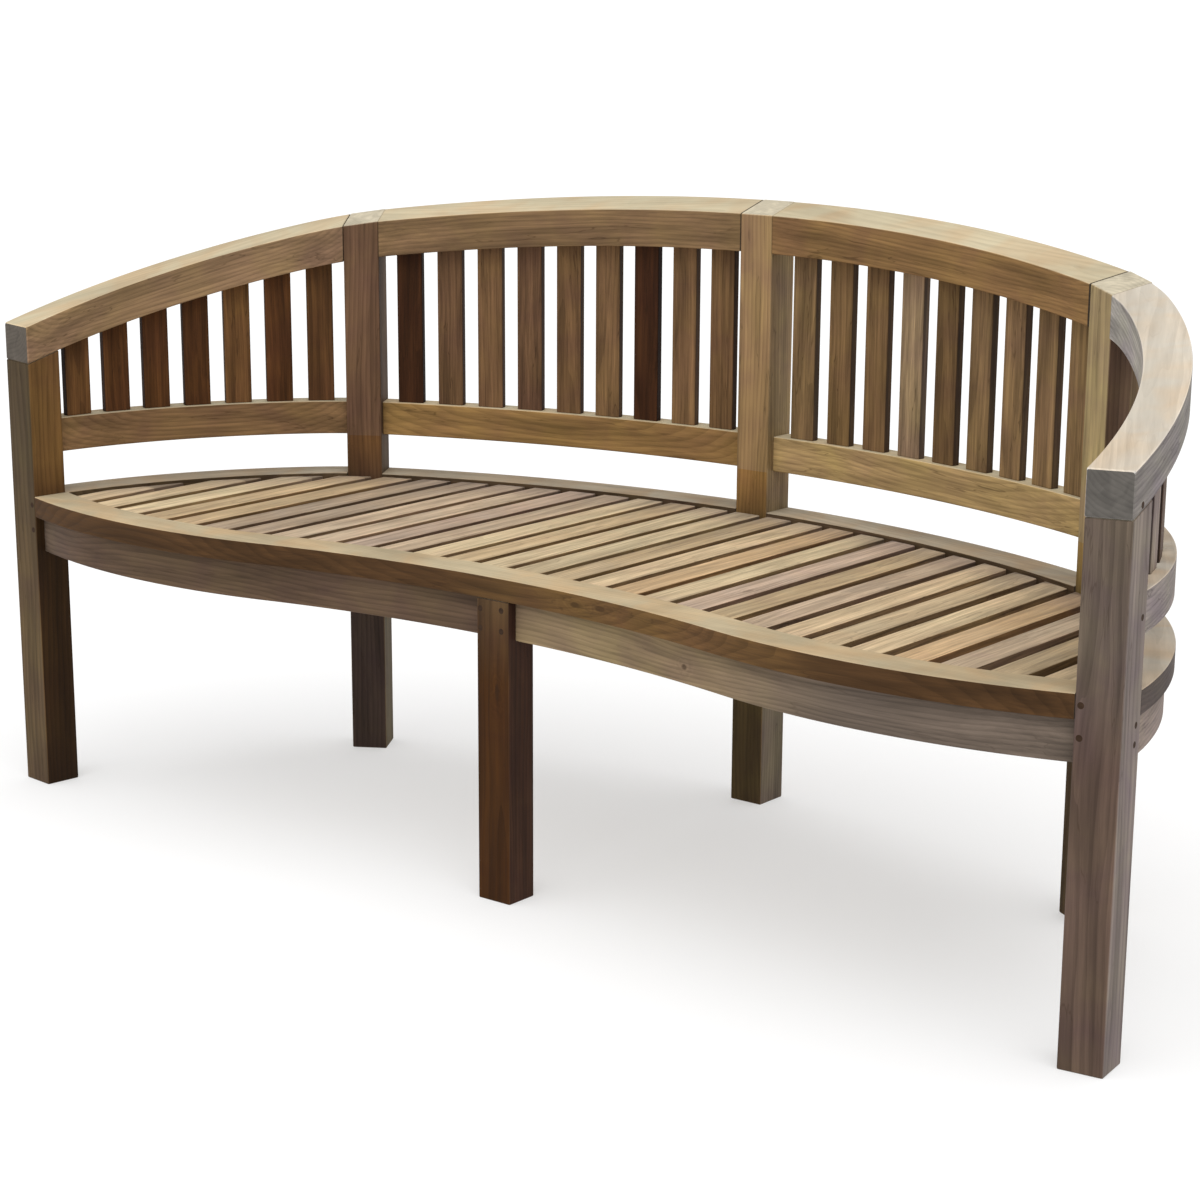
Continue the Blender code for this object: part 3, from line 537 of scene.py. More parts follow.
def make_rails(own_materials, usual_material, slat_material):
    """Top rails and arms in one inclined plane, the lower rails and the slats between them."""
    for bay, left, right in BAYS:
        middle = (left.station + right.station) / 2
        planes = [left.face_along(1), right.face_along(-1)]
        arm = bay.endswith("arm")
        material = own_materials.get(bay, usual_material)
        top_planes, shown = list(planes), []
        if left is FRONT_LEFT:
            top_planes[0], shown = left.face_along(-1, 0.0), [-1]
        if right is FRONT_RIGHT:
            top_planes[1], shown = right.face_along(1, 0.0), [1]
        name = bay + "_rail" if arm else bay.replace("back", "top_rail")
        crest = SEAT + ARM_RISE
        rail = sweep(name + "_grained", BACK, top_planes, middle, (-HALF_RAIL, HALF_RAIL),
                     (crest - RAIL_HEIGHT, crest), material, RAIL_COLOURS[bay], RAIL_SLOPE, shown,
                     RAIL_ARRIS)
        stands_for(rail, "top_rail_teak", name)
        lower = sweep(bay + "_lower_rail", BACK, planes, middle, LOWER_RAIL,
                      (LOWER_RAIL_TOP - LOWER_RAIL_HEIGHT, LOWER_RAIL_TOP), material,
                      LOWER_RAIL_COLOURS[bay])
        stands_for(lower, "back_panel_teak", bay + "_panel")
        slats = make_back_slats(bay, left, right, slat_material)
        stands_for(slats, "back_panel_teak", bay + "_panel")


def make_back_slats(bay, left, right, material):
    count = ARM_BAY_SLATS if bay.endswith("arm") else BACK_BAY_SLATS
    clear = right.station - left.station - POST_WIDTH
    gap = (clear - count * BACK_SLAT_WIDTH) / (count + 1)
    starts, reaches, acrosses, cuts, tones = [], [], [], [], []
    for k in range(count):
        point, heading = BACK.at(left.station + POST_WIDTH / 2 + gap + BACK_SLAT_WIDTH / 2
                                 + k * (BACK_SLAT_WIDTH + gap))
        starts.append((point.x, point.y, LOWER_RAIL_TOP - JOINT))
        reaches.append((0.0, 0.0, rail_top(point.y) - RAIL_HEIGHT - LOWER_RAIL_TOP + JOINT))
        acrosses.append(forward(heading))
        cuts.append((0.0, RAIL_SLOPE * sin(heading), 0.0))
        colour, others = SLAT_COLOURS[bay]
        for other, which in others.items():
            if k in which:
                colour = other
        tones.append(Vector(linear(colour)[:3]) * chance.uniform(0.9, 1.1))
    row = new_piece(bay + "_slats", starts, reach=reaches, across=acrosses, cuts=cuts, tone=tones)
    bake(row, SLAT_TREE, {"Width": BACK_SLAT_WIDTH, "Thickness": BACK_SLAT_THICKNESS,
                          "Arris": ARRIS, "Flank shade": BACK_SLAT_FLANK_SHADE, "Seed": len(starts),
                          "Material": material})
    return row


def make_seat_slats(material):
    """Seat slats from the front border's inner edge to the rear one, wider apart to the sides."""
    side_edge = BACK.at(FRONT_POST_AT, -HALF_RAIL)[0].x - SIDE_GAP
    last = (SEAT_SLATS - 1) / 2
    spread = (END_GAP - MIDDLE_GAP) / (1 - ((last - 1) / last) ** 3)
    width = (side_edge - last * MIDDLE_GAP - spread) / (last + 1 / 2)
    height = SEAT - SLAT_DROP - SLAT_THICKNESS / 2
    starts, reaches, cuts, tones = [], [], [], []
    for k in range(SEAT_SLATS):
        centre = (k - last) * (width + MIDDLE_GAP) + spread * ((k - last) / last) ** 3
        fronts = [FRONT.y_at(centre + side * width / 2, FRONT_BORDER_WIDTH + JOINT) for side in (-1, 1)]
        rears = [BACK.y_at(centre + side * width / 2, -HALF_RAIL - REAR_GAP) for side in (-1, 1)]
        starts.append((centre, sum(fronts) / 2, height))
        reaches.append((0.0, (sum(rears) - sum(fronts)) / 2, 0.0))
        cuts.append(((fronts[1] - fronts[0]) / width, (rears[1] - rears[0]) / width, 0.0))
        colour = chance.choice(SEAT_COLOURS)
        tones.append(Vector(linear(colour)[:3]) * chance.uniform(0.85, 1.15))
    row = new_piece("seat_slats", starts, reach=reaches, across=[(1.0, 0.0, 0.0)] * SEAT_SLATS,
                    cuts=cuts, tone=tones)
    bake(row, SLAT_TREE, {"Width": width, "Thickness": SLAT_THICKNESS, "Arris": ARRIS,
                          "Flank shade": SEAT_SLAT_FLANK_SHADE, "Seed": 3, "Material": material})
    stands_for(row, "seat_slat_teak", *[f"seat_slat_{k + 1:02d}" for k in range(SEAT_SLATS)])


def make_seat_frame(own_materials, usual_material, front_apron_material):
    """Borders round the slats and the aprons under them."""
    under = SEAT - BORDER_THICKNESS
    apron_levels = (under - APRON_HEIGHT, under - JOINT)
    for bay, left, right in BAYS:
        middle = (left.station + right.station) / 2
        planes = [left.face_along(1), right.face_along(-1)]
        material = own_materials.get(bay, usual_material)
        border = sweep(bay + "_border_grained", BACK, planes, middle, (-HALF_RAIL, HALF_RAIL),
                       (under, SEAT), material, BORDER_COLOURS[bay])
        stands_for(border, "seat_border_teak", bay + "_seat_border")
        apron = sweep(bay + "_apron_grained", BACK, planes, middle, APRON, apron_levels,
                      material, APRON_COLOURS[bay])
        stands_for(apron, "apron_teak", bay + "_apron")
    ends = [FRONT_LEFT.face_across(-1), FRONT_RIGHT.face_across(-1)]
    border = sweep("front_border_grained", FRONT, ends, 0.0, (0.0, FRONT_BORDER_WIDTH), (under, SEAT),
                   own_materials["front"], BORDER_COLOURS["front"])
    stands_for(border, "seat_border_teak", "front_seat_border")
    quarter = FRONT_RIGHT.centre.x / 2
    for half, planes, side in (("left_front", [ends[0], MIDDLE_LEG.face_along(-1)], -1),
                               ("right_front", [MIDDLE_LEG.face_along(1), ends[1]], 1)):
        apron = sweep(half + "_apron_grained", FRONT, planes, side * quarter, FRONT_APRON,
                      apron_levels, front_apron_material, APRON_COLOURS[half])
        stands_for(apron, "apron_teak", half + "_apron")


# Posts: plain faces, flanks, then plain faces and inner face below the seat, the last two darker as
# painted shade under the seat
POST_COLOURS = {"back_left_post": ("#5d4a3a", "#6e533f", "#5f523d", "#40332d"),
                "back_centre_post": ("#927b5c", "#987b58", "#6a5e4e", "#4a3c24"),
                # The back right post's plain faces are dark as painted shade
                "back_right_post": ("#695342", "#a4906b", "#6a5640", "#4a3a24"),
                "front_left_post": ("#514330", "#705230", "#5e4c36", "#322110"),
                "front_right_post": ("#67594f", "#7b6f68", "#5e4c41", "#3a2c24"),
                "front_centre_leg": ("#3b271e", "#55412b", "#402a1e", "#44280f")}
# Painted shade under the seat: heights below which posts have wholly turned to their darker colours, the
# middle leg's lower
SHADED_BELOW = SEAT - 0.08          # height at which posts have wholly turned to their leg colours
MIDDLE_LEG_SHADED_BELOW = 0.3


def make_posts(material):
    posts = (BACK_LEFT, BACK_CENTRE, BACK_RIGHT, FRONT_LEFT, FRONT_RIGHT, MIDDLE_LEG)
    for post, (name, colours) in zip(posts, POST_COLOURS.items()):
        top, slope, shaded_below = 0.0, RAIL_SLOPE, SHADED_BELOW
        if post in (FRONT_LEFT, FRONT_RIGHT):
            top = -RAIL_HEIGHT - JOINT
        elif post is MIDDLE_LEG:
            top, slope, shaded_below = -ARM_RISE - BORDER_THICKNESS - JOINT, 0.0, MIDDLE_LEG_SHADED_BELOW
        corners = []
        for a, b in ((-1, -1), (1, -1), (1, 1), (-1, 1)):
            corners.append(post.centre + forward(post.heading) * post.half_along * a
                           + leftward(post.heading) * post.half_across * b)
        low = [(c.x, c.y, 0.0) for c in corners]
        high = [(c.x, c.y, SEAT + ARM_RISE + slope * c.y + top) for c in corners]
        sides = [(k, (k + 1) % 4, (k + 1) % 4 + 4, k + 4) for k in range(4)]
        piece = new_piece(name + "_grained", low + high, faces=[(3, 2, 1, 0), (4, 5, 6, 7), *sides])
        bevel = piece.modifiers.new("sanded arrises", "BEVEL")
        bevel.width, bevel.segments = POST_ARRIS, 3
        side = -leftward(post.heading).to_3d()
        covered_at = SEAT + ARM_RISE + top if top < 0 else CLEAR_OF_ALL
        plain, flank, leg, shaded = colours
        bake(piece, UPRIGHT_TREE, {
            "Side": side, "Covered at": covered_at, "Slope": slope, "Darkens at": shaded_below,
            "Leg shade": linear(leg)[:3], "Shaded": linear(shaded)[:3],
            **board_values(post.centre.to_3d(), UP, side, material, plain, flank)})
        stands_for(piece, "post_teak", name)


# A peg's colour: its dark end grain, and painted shade in place of a sunk hole
PEG_RADIUS, PEG_PROUD, PEG_DEPTH, PEG_GRAIN_AND_SHADE = 4 * MM, 0.1 * MM, 3 * MM, "#3d2c20"
LOWER_RAIL_MIDDLE = LOWER_RAIL_TOP - LOWER_RAIL_HEIGHT / 2
# Places of pegs: from the middle of the post's face, then above the ground
FRONT_POST_OUTER_PEGS = ((-0.021, 0.427), (-0.021, 0.390))
FRONT_POST_BACK_PEGS = ((0.0157, LOWER_RAIL_MIDDLE), (0.014, 0.4027), (0.0126, 0.3807),
                        (-0.0027, 0.6506))
MIDDLE_LEG_PEGS = ((-0.021, 0.396), (-0.021, 0.370), (0.0145, 0.3976), (0.0145, 0.370))
BACK_POST_PEG_REACH = 0.0155


def make_pegs(material):
    """Round pegs through the tenons, on the faces where they come out."""
    spots, outs = [], []

    def peg(post, along, across, height, lengthwise, side):
        """One peg on a face of a post, at distances along and across from its centre."""
        spot = post.centre + forward(post.heading) * along + leftward(post.heading) * across
        spots.append((spot.x, spot.y, height))
        outs.append((forward if lengthwise else leftward)(post.heading) * side)

    for post, end in ((FRONT_LEFT, -1), (FRONT_RIGHT, 1)):
        for across, height in FRONT_POST_OUTER_PEGS:
            peg(post, end * post.half_along, across, height, True, end)
        for along, height in FRONT_POST_BACK_PEGS:
            peg(post, -end * along, post.half_across, height, False, 1)
    for post in (BACK_LEFT, BACK_CENTRE, BACK_RIGHT):
        outer = post.centre.y + post.half_across * cos(post.heading)
        for side in (-1, 1):
            for height in (rail_top(outer) - RAIL_HEIGHT / 2, LOWER_RAIL_MIDDLE,
                           SEAT - BORDER_THICKNESS / 2, SEAT - BORDER_THICKNESS - APRON_HEIGHT / 2):
                peg(post, side * BACK_POST_PEG_REACH, post.half_across, height, False, 1)
    for along, height in MIDDLE_LEG_PEGS:
        peg(MIDDLE_LEG, along, -MIDDLE_LEG.half_across, height, False, -1)
    pegs = new_piece("tenon_pegs", spots, out=outs)
    bake(pegs, PEG_TREE, {"Radius": PEG_RADIUS, "Proud": PEG_PROUD, "Depth": PEG_DEPTH, "Seed": 5,
                          "Tone": linear(PEG_GRAIN_AND_SHADE)[:3], "Material": material})
    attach(pegs, "root")


# Materials

RING_SPACING = 6 * MM             # between two growth rings
SWIRL_SPACING = 7 * MM            # between two rings of a knot's swirl
KNOT_HEART, KNOT_REACH = 2.5 * MM, 18 * MM
# Painted shade: the height over which a post darkens into its colours below the seat
LEG_SHADE_FADE = 0.13                   # height over which a post takes on its colours below the seat
WET_END = 90 * MM                 # how far water greys a seat slat from its rear end
SEAM = 1.6 * MM                   # width of the dark line along a joint
TEAK_IOR, TEAK_GLOSS = 1.45, 0.12


def figure(tree, board, spread, fibrous):
    """Figure of sawn teak in board coordinates: lightness, late wood, fibres and dark streaks.

    Spread stretches it across the board's face, so that it runs long where a curved rail cuts it.
    Fibrous is how much the fibres lighten and darken the face.
    """
    # Growth drifts about the pith every 90 mm or so, which gives the cathedrals of a flat-sawn face
    slow = add(tree, "VectorMath MULTIPLY", [board, (1.8, 11.0, 11.0)])
    drift = add(tree, "TexNoise", {"Vector": slow, "Scale": 1.0, "Detail": 2.5})
    push = add(tree, "VectorMath SUBTRACT", [drift.outputs["Color"], (0.5, 0.5, 0.5)])
    push = add(tree, "VectorMath MULTIPLY", [push, (0.0, 0.035, 0.035)])
    grown = add(tree, "VectorMath ADD", [board, push])
    # A saw wave's period is 2 pi over 20 times its scale
    rings = add(tree, "TexWave", {"Vector": grown, "Scale": 2 * pi / (20 * RING_SPACING)},
                wave_type="RINGS", rings_direction="X", wave_profile="SAW").outputs["Fac"]
    late = add(tree, "MapRange", [rings, 0.3, 0.95], interpolation_type="SMOOTHSTEP")
    # Fibres are drawn about 3 mm wide, coarser than real ones, so that they show at this distance
    thin = add(tree, "VectorMath MULTIPLY", [grown, (9.0, 330.0 / spread, 330.0)])
    fibres = add(tree, "TexNoise", {"Vector": thin, "Scale": 1.0, "Detail": 4.0, "Roughness": 0.7})
    # Bands are about 20 mm wide and 260 mm long
    wide = add(tree, "VectorMath MULTIPLY", [grown, (3.8, 50.0 / spread, 50.0)])
    bands = add(tree, "TexNoise", {"Vector": wide, "Scale": 1.0, "Detail": 3.0, "Roughness": 0.55})
    # Mineral streaks: thin dark lines that follow the contours of the bands, here and there
    contour = add(tree, "Math SUBTRACT", [bands, 0.47])
    contour = add(tree, "Math ABSOLUTE", [contour])
    line = add(tree, "MapRange", [contour, 0.0, 0.011, 1.0, 0.0], interpolation_type="SMOOTHSTEP")
    patch = add(tree, "TexNoise", {"Vector": slow, "Scale": 2.3, "Detail": 1.0})
    here = add(tree, "MapRange", [patch, 0.46, 0.56])
    streak = add(tree, "Math MULTIPLY", [line, here])
    # Bands lighten or darken the face by about a third, fibres by their share, rings by less
    light = add(tree, "MapRange", [bands, 0.3, 0.7, 0.68, 1.3])
    fine = add(tree, "MapRange", [fibres, 0.36, 0.64, 1 - fibrous, 1 + fibrous])
    ringed = add(tree, "MapRange", [late, 0.0, 1.0, 1.05, 0.84])
    for share in (fine, ringed):
        light = add(tree, "Math MULTIPLY", [light, share])
    return light, late, fibres, streak


def knot_marks(tree, place, stretch, *knots):
    """Hearts and swirls of knots: how dark each point is, and how far its figure swirls."""
    wobble = add(tree, "TexNoise", {"Vector": place, "Scale": 60.0, "Detail": 2.0})
    wobble = add(tree, "MapRange", [wobble, 0.3, 0.7, -5 * MM, 5 * MM])
    nearest = CLEAR_OF_ALL
    for knot in knots:
        offset = add(tree, "VectorMath SUBTRACT", [place, knot])
        offset = add(tree, "VectorMath MULTIPLY", [offset, stretch])
        away = add(tree, "VectorMath LENGTH", [offset])
        nearest = add(tree, "Math MINIMUM", [away, nearest])
    heart = add(tree, "MapRange", [nearest, KNOT_HEART + 2 * MM, KNOT_HEART])
    ring = add(tree, "Math ADD", [nearest, wobble])
    wave = add(tree, "Math MULTIPLY", [ring, 2 * pi / SWIRL_SPACING])
    wave = add(tree, "Math COSINE", [wave])
    near = add(tree, "MapRange", [nearest, 3 * MM, KNOT_REACH, 0.11, 0.0])
    swirl = add(tree, "Math MULTIPLY_ADD", [wave, near, 1.0])
    return heart, swirl


def facings(tree, normal, side, axis, both_flanks):
    """How far each point faces up, square to a flank, inward, sideways and along the grain."""
    up = add(tree, "SeparateXYZ", [normal]).outputs["Z"]
    cosines = [add(tree, "VectorMath DOT_PRODUCT", [normal, direction]) for direction in (side, axis)]
    square, endways = [add(tree, "Math ABSOLUTE", [cosine]) for cosine in cosines]
    inward, sideways = [add(tree, "MapRange", [value, 0.6, 0.9])
                        for value in (cosines[0], square if both_flanks else cosines[0])]
    cut = add(tree, "MapRange", [endways, 0.7, 0.9])
    return up, square, inward, sideways, cut


def sun_fade_and_top_light(tree, up, covered, patches, warmth, bleach_and_light, top, top_warm):
    """How far each upward point has paled, in patches, and the colour it paled to: sun and rain
    bleaching, and painted top light.
    """
    skyward = add(tree, "MapRange", [up, 0.35, 0.9], interpolation_type="SMOOTHSTEP")
    if covered:
        # The top of a post that a rail covers stays unbleached
        open_top = add(tree, "Math GREATER_THAN", [covered, 3 * MM])
        skyward = add(tree, "Math MULTIPLY", [skyward, open_top])
    paled_by_sun_and_light = add(tree, "MapRange", [patches, 0.3, 0.7, bleach_and_light * 0.8, bleach_and_light])
    paled_by_sun_and_light = add(tree, "Math MULTIPLY", [paled_by_sun_and_light, skyward])
    warm = add(tree, "MapRange", [warmth, 0.42, 0.68])
    pale = add(tree, "Mix RGBA", [warm, linear(top), linear(top_warm)])
    return paled_by_sun_and_light, pale


def post_colour(tree, spot, darkens_at, inward, sideways, tone, flank):
    """A post's faces: colours of their own below the seat, darker there as painted shade, and darkest on
    the inner face.
    """
    leg, shaded = [add(tree, "Attribute", attribute_name=mark).outputs["Vector"]
                   for mark in ("leg", "shaded")]
    below = add(tree, "Math SUBTRACT", [spot["Z"], darkens_at])
    below = add(tree, "MapRange", [below, LEG_SHADE_FADE, 0.0])
    tone = add(tree, "Mix RGBA", [below, tone, leg])
    wood = add(tree, "Mix RGBA", [sideways, tone, flank])
    # Between the seat and the lower rail a back post's inner face has kept its warm colour
    kept = add(tree, "Math LESS_THAN", [spot["Z"], LOWER_RAIL_TOP - LOWER_RAIL_HEIGHT])
    at_back = add(tree, "Math GREATER_THAN", [spot["Y"], 0.0])
    for share in (at_back, inward):
        kept = add(tree, "Math MULTIPLY", [kept, share])
    kept = add(tree, "Mix RGBA", [kept, (1.0, 1.0, 1.0, 1.0), (0.97, 0.84, 0.58, 1.0)])
    wood = add(tree, "Mix RGBA", [1.0, wood, kept], blend_type="MULTIPLY")
    # Painted shade: below the seat the inner face takes its dark shaded colour
    inner_shade = add(tree, "Math MULTIPLY", [below, inward])
    return add(tree, "Mix RGBA", [inner_shade, wood, shaded])


def drift_to(tree, wood, along, middle, start, full, colour):
    """Away from a place along the bench, between two distances, wood drifts to another colour."""
    away = add(tree, "Math SUBTRACT", [along, middle])
    away = add(tree, "Math ABSOLUTE", [away])
    share = add(tree, "MapRange", [away, start, full], interpolation_type="SMOOTHSTEP")
    return add(tree, "Mix RGBA", [share, wood, linear(colour)])


def worn_and_highlit_arrises(tree, light, normal, side, up, square):
    """Paler on upper arrises, as wear from hands and as a painted highlight: where the normal lies
    between the piece's own three directions.
    """
    third = add(tree, "VectorMath CROSS_PRODUCT", [UP, side])
    third = add(tree, "VectorMath DOT_PRODUCT", [normal, third])
    third = add(tree, "Math ABSOLUTE", [third])
    flat = add(tree, "Math ABSOLUTE", [up])
    for share in (square, third):
        flat = add(tree, "Math MAXIMUM", [flat, share])
    edge = add(tree, "MapRange", [flat, 0.95, 0.8])
    upper = add(tree, "MapRange", [up, -0.2, 0.4])
    edge = add(tree, "Math MULTIPLY", [edge, upper])
    wear_and_highlight = add(tree, "MapRange", [edge, 0.0, 1.0, 1.0, 1.3])
    return add(tree, "Math MULTIPLY", [light, wear_and_highlight])


def end_grain(tree, wood, board, late, cut, colour):
    """Cut ends: cloudy and greyer than the faces, with the rings as faint arcs."""
    cloud = add(tree, "TexNoise", {"Vector": board, "Scale": 45.0, "Detail": 3.0, "Distortion": 1.2})
    cloud = add(tree, "MapRange", [cloud, 0.3, 0.7, 0.82, 1.18])
    ends = add(tree, "MapRange", [late, 0.0, 1.0, 1.05, 0.92])
    ends = add(tree, "Math MULTIPLY", [ends, cloud])
    ends = add(tree, "VectorMath SCALE", [linear(colour)[:3], ends])
    return add(tree, "Mix RGBA", [cut, wood, ends])


def teak(name, top, top_warm, bleach_and_light=0.0, end="#6a5f52", legs=False, spread=1.0, both_flanks=False,
         plank=None, knots=(), greyed=None, grey_ends=False, fibrous=0.15, streaks=0.42,
         roughness=0.66):
    """Weathered teak. Upward faces fade towards two pale colours, by at most the share given, as
    sun-bleaching and as painted top light.

    A plank is a kept CAD node's grain turn and colour; other pieces carry theirs as attributes.
    """
    material = bpy.data.materials.new(name)
    material.use_nodes = True
    tree = material.node_tree
    object_place = add(tree, "TexCoord").outputs["Object"]
    spot = add(tree, "SeparateXYZ", [object_place]).outputs
    normal = add(tree, "NewGeometry").outputs["Normal"]
    if plank:
        turn, colour = plank
        board = add(tree, "Mapping", {"Vector": object_place, "Rotation": (0.0, 0.0, turn)})
        axis, side = (cos(turn), -sin(turn), 0.0), (sin(turn), cos(turn), 0.0)
        tone = flank = linear(colour)
        tips = (CLEAR_OF_ALL, CLEAR_OF_ALL, 0.0)
    else:
        board, axis, side, tone, flank, tips = [
            add(tree, "Attribute", attribute_name=mark).outputs["Vector"]
            for mark in ("board", "axis", "side", "tone", "flank", "tips")]
    tips = add(tree, "SeparateXYZ", [tips]).outputs
    light, late, fibres, streak = figure(tree, board, spread, fibrous)
    if knots:
        heart, swirl = knot_marks(tree, object_place, *knots)
        light = add(tree, "Math MULTIPLY", [light, swirl])
        heart = add(tree, "Math MULTIPLY", [heart, 0.55 / streaks])
        streak = add(tree, "Math MAXIMUM", [streak, heart])
    up, square, inward, sideways, cut = facings(tree, normal, side, axis, both_flanks)
    # Patches about 110 mm across fade more or less, and ones of 80 mm are warmer or cooler
    patches = add(tree, "TexNoise", {"Vector": board, "Scale": 9.0, "Detail": 3.0, "Roughness": 0.6})
    warmth = add(tree, "TexNoise", {"Vector": board, "Scale": 13.0, "Detail": 2.0, "Distortion": 0.6})
    paled_by_sun_and_light, pale = sun_fade_and_top_light(tree, up, tips["Y"] if legs else None, patches, warmth, bleach_and_light,
                             top, top_warm)
    if legs:
        wood = post_colour(tree, spot, tips["Z"], inward, sideways, tone, flank)
    else:
        wood = add(tree, "Mix RGBA", [sideways, tone, flank])
    # Each board is a little redder here and yellower there
    stain = add(tree, "MapRange", [warmth, 0.3, 0.7])
    stain = add(tree, "Mix RGBA", [stain, (0.9, 0.87, 0.98, 1.0), (1.08, 1.12, 1.04, 1.0)])
    wood = add(tree, "Mix RGBA", [1.0, wood, stain], blend_type="MULTIPLY")
    if greyed:
        wood = drift_to(tree, wood, spot["X"], *greyed)
    wood = add(tree, "Mix RGBA", [paled_by_sun_and_light, wood, pale])
    # Wood paled by bleaching and painted top light shows less of its figure and none of its streaks
    plain = add(tree, "Math MULTIPLY", [paled_by_sun_and_light, 0.72])
    light = add(tree, "Mix", [plain, light, 1.0])
    clean = add(tree, "Math SUBTRACT", [1.0, paled_by_sun_and_light])
    for share in (streaks, clean):
        streak = add(tree, "Math MULTIPLY", [streak, share])
    if grey_ends:
        # Water stands at a slat's rear end and greys it
        wet = add(tree, "MapRange", [tips["Y"], 0.0, WET_END, 0.95, 0.0])
        wet = add(tree, "Math MULTIPLY", [wet, patches])
        wood = add(tree, "Mix RGBA", [wet, wood, linear("#7d7069")])
    # Upper arrises paler: hand wear and a painted highlight
    light = worn_and_highlit_arrises(tree, light, normal, side, up, square)
    wood = add(tree, "VectorMath SCALE", [wood, light])
    wood = add(tree, "Mix RGBA", [streak, wood, linear("#2c1c10")])
    wood = end_grain(tree, wood, board, late, cut, end)
    # Dirt and shadow in the joint: a dark line where the piece meets another
    tip = add(tree, "Math MINIMUM", [tips["X"], tips["Y"]])
    seam = add(tree, "MapRange", [tip, SEAM / 4, SEAM, 0.4, 0.0])
    wood = add(tree, "Mix RGBA", [seam, wood, linear("#2a1d12")])
    # Fibres and rings stand a little proud of the worn early wood
    relief = add(tree, "Math MULTIPLY_ADD", [late, 0.4, fibres])
    worn = add(tree, "Bump", {"Height": relief, "Strength": 0.5, "Distance": 0.3 * MM})
    matt = add(tree, "MapRange", [fibres, 0.3, 0.7, roughness - 0.08, roughness + 0.1])
    shader = tree.nodes["Principled BSDF"].inputs
    for label, value in (("Base Color", wood), ("Normal", worn), ("Roughness", matt),
                         ("IOR", TEAK_IOR), ("Specular IOR Level", TEAK_GLOSS)):
        feed(tree, shader[label], value)
    return material


# Knots: how much the grain draws their swirls out, then where they lie
BORDER_KNOTS = ((0.35, 1.0, 1.0), (0.142, -0.284, 0.426), (0.185, -0.2885, 0.428))
APRON_KNOTS = ((0.8, 1.0, 1.0), (0.322, -0.296, 0.378))
SEAT_KNOTS = ((1.0, 0.35, 1.0), (0.6, 0.005, SEAT - SLAT_DROP), (0.29, -0.12, SEAT - SLAT_DROP))
POST_KNOTS = ((1.0, 1.0, 0.3), (0.007, -0.278, 0.2885))

# Top rails: straw on top, sun-bleached and painted with top light, brown and figured on their faces,
# grey on the sawn end
RAIL_TEAK = teak("weathered teak, top rail", "#c2b79a", "#c0ac8c", bleach_and_light=0.95, end="#5f5850",
                 spread=2.5)
# Right arm: the most exposed piece, silver-grey all over with a faint blush
RIGHT_ARM_TEAK = teak("silvered teak, right arm", "#c6bdad", "#c7b39a", bleach_and_light=0.95, end="#625e59",
                      spread=2.5)
# Back slats: sheltered, so still oily brown, with strong fibres and each its own tone
SLAT_TEAK = teak("oiled teak, back slats", "#a08a68", "#a08a68", bleach_and_light=0.6, both_flanks=True,
                 fibrous=0.24)
# Seat slats: honey to grey-pink from slat to slat, fibrous, greyed at the rear by standing water
SEAT_TEAK = teak("weathered teak, seat slats", "#c8b08a", "#b5a191", bleach_and_light=0.35, both_flanks=True,
                 knots=SEAT_KNOTS, grey_ends=True, fibrous=0.3)
# Posts: grey-brown above the seat, dark red-brown legs below it as painted shade under the seat, pale
# end grain on top, sun-bleached and painted with top light
POST_TEAK = teak("weathered teak, posts", "#c9c0a8", "#c2b294", bleach_and_light=0.9, both_flanks=True,
                 end="#bab09a", legs=True, knots=POST_KNOTS, fibrous=0.1, streaks=0.3)
# Front border: pale top, and a face that is tan to the right of the middle and dark brown elsewhere
FRONT_TEAK = teak("weathered teak, front seat border", "#beaf90", "#c6ad88", bleach_and_light=0.92, spread=2.5,
                  knots=BORDER_KNOTS, greyed=(0.24, 0.08, 0.38, "#4f3720"), streaks=0.3)
# Other borders and their aprons: dull grey-brown
BORDER_TEAK = teak("greyed teak, rear and side seat borders", "#b6aa94", "#b39e82", bleach_and_light=0.85,
                   spread=2.5, fibrous=0.22)
# Front aprons: smooth and shaded, tan in the middle and grey towards the right post
APRON_TEAK = teak("shaded teak, aprons", "#8d7350", "#8d7350", spread=2.5, knots=APRON_KNOTS,
                  greyed=(-0.2, 0.5, 0.82, "#6e6156"), fibrous=0.1, streaks=0.2)
# Pegs: round dots of dark end grain, darker still as painted shade in place of a sunk peg hole
PEG_TEAK = teak("peg end grain and painted shade", PEG_GRAIN_AND_SHADE, PEG_GRAIN_AND_SHADE, end="#3a2a1e")

make_rails({"right_arm": RIGHT_ARM_TEAK}, RAIL_TEAK, SLAT_TEAK)
make_seat_frame({"front": FRONT_TEAK, "right_arm": RIGHT_ARM_TEAK}, BORDER_TEAK, APRON_TEAK)
make_seat_slats(SEAT_TEAK)
make_posts(POST_TEAK)
make_pegs(PEG_TEAK)

# Kept CAD nodes under the seat: plain sawn brown boards that run along the bench or across it
for run, turn, names in (("along", 0.0, ("front_ledger", "left_back_ledger", "right_back_ledger")),
                         ("across", pi / 2, ("left_arm_ledger", "right_arm_ledger",
                                             "centre_stretcher"))):
    ledger_teak = teak("sawn teak, ledgers " + run, "#5c4630", "#5c4630", plank=(turn, "#5c4630"),
                       roughness=0.75)
    for name in names:
        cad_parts[name].material_slots[0].material = ledger_teak


# Photographer's floor, light and camera

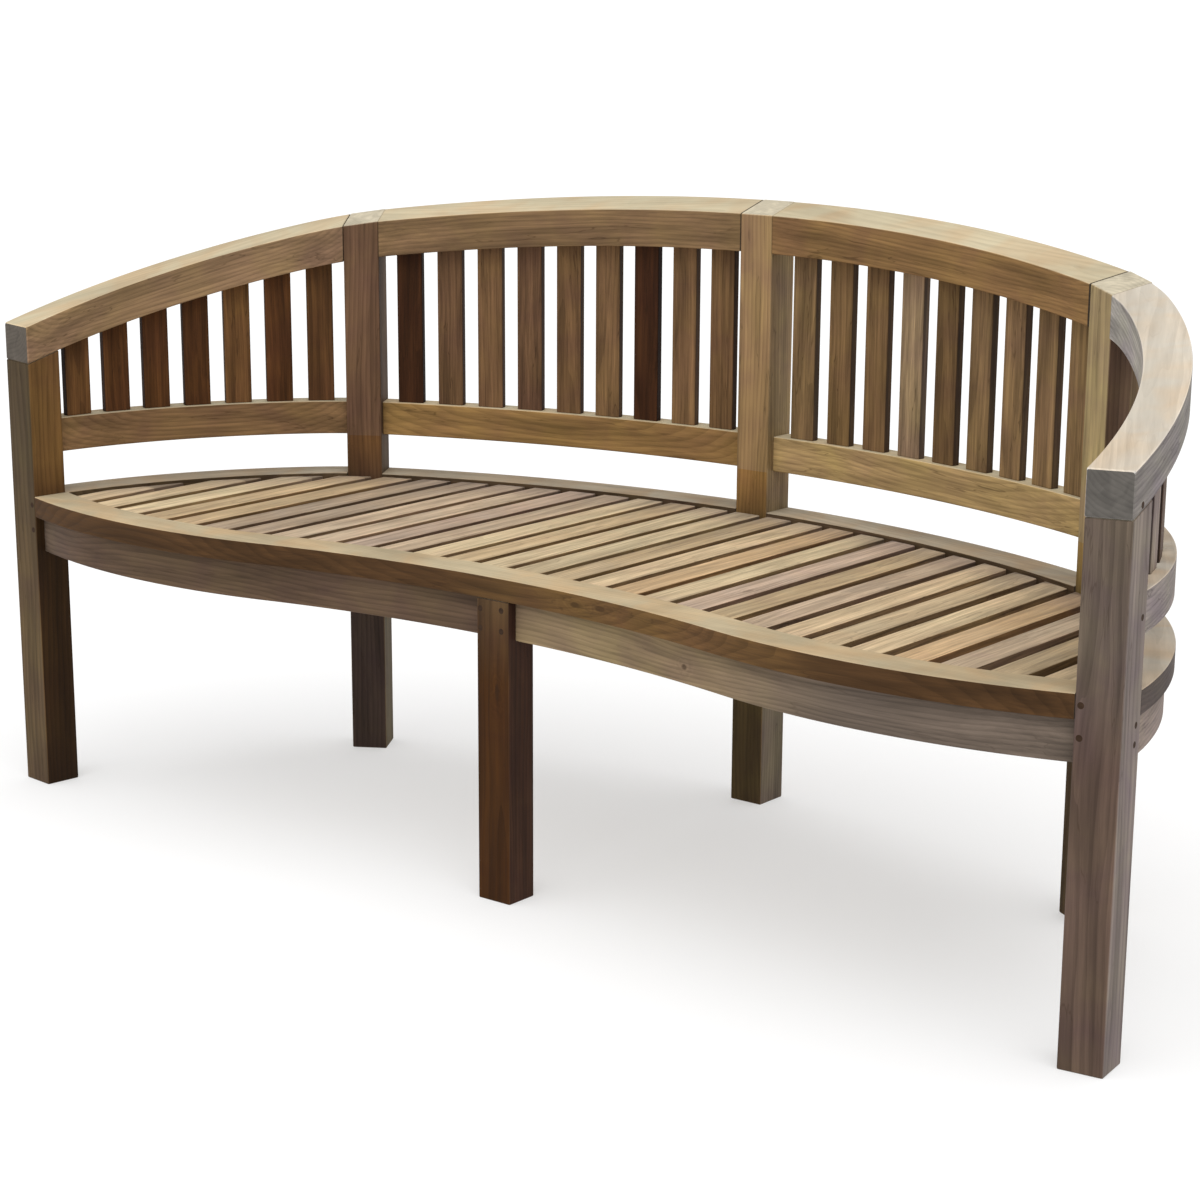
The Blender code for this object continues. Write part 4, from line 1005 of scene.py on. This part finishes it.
def make_studio():
    scene = bpy.context.scene
    scene.view_settings.view_transform = "Standard"
    world = bpy.data.worlds.new("pale room")
    world.use_nodes = True
    world.node_tree.nodes["Background"].inputs["Color"].default_value = linear("#f2f2f2")
    world.node_tree.nodes["Background"].inputs["Strength"].default_value = 0.72
    scene.world = world
    sun = bpy.data.lights.new("high softbox", "SUN")
    sun.energy, sun.angle = 2.1, 1.2
    lamp = bpy.data.objects.new("high softbox", sun)
    lamp.rotation_euler = (0.25, 0.2, 0.0)
    scene.collection.objects.link(lamp)
    floor_mesh = bpy.data.meshes.new("studio_floor")
    edge = 2000.0
    floor_mesh.from_pydata([(-edge, -edge, 0), (edge, -edge, 0), (edge, edge, 0), (-edge, edge, 0)], [],
                           [(0, 1, 2, 3)])
    floor = bpy.data.objects.new("studio_floor", floor_mesh)
    scene.collection.objects.link(floor)
    paper = bpy.data.materials.new("matt white paper")
    paper.use_nodes = True
    sheet = paper.node_tree.nodes["Principled BSDF"].inputs
    sheet["Base Color"].default_value = linear("#bcbcbc")
    sheet["Roughness"].default_value = 0.95
    # Lit from below, as a photographer's light table is, so that shadows stay faint
    sheet["Emission Color"].default_value = linear("#ffffff")
    sheet["Emission Strength"].default_value = 0.45
    floor_mesh.materials.append(paper)


CAMERA_PLACE = Vector((2.2424, -2.8664, 1.213))
CAMERA_YAW, CAMERA_PITCH, CAMERA_ROLL = 0.6621, 0.26, 0.0077


def make_camera():
    camera = bpy.data.objects.new("camera", bpy.data.cameras.new("camera"))
    camera.data.lens, camera.data.sensor_width = 81.9, 36.0
    camera.data.shift_x, camera.data.shift_y = -0.0247, 0.0677
    camera.data.clip_end = 5000.0
    turn = (Matrix.Rotation(CAMERA_YAW, 4, "Z") @ Matrix.Rotation(pi / 2 - CAMERA_PITCH, 4, "X")
            @ Matrix.Rotation(CAMERA_ROLL, 4, "Z"))
    camera.matrix_world = Matrix.Translation(CAMERA_PLACE) @ turn
    bpy.context.scene.collection.objects.link(camera)
    bpy.context.scene.camera = camera


make_studio()
make_camera()
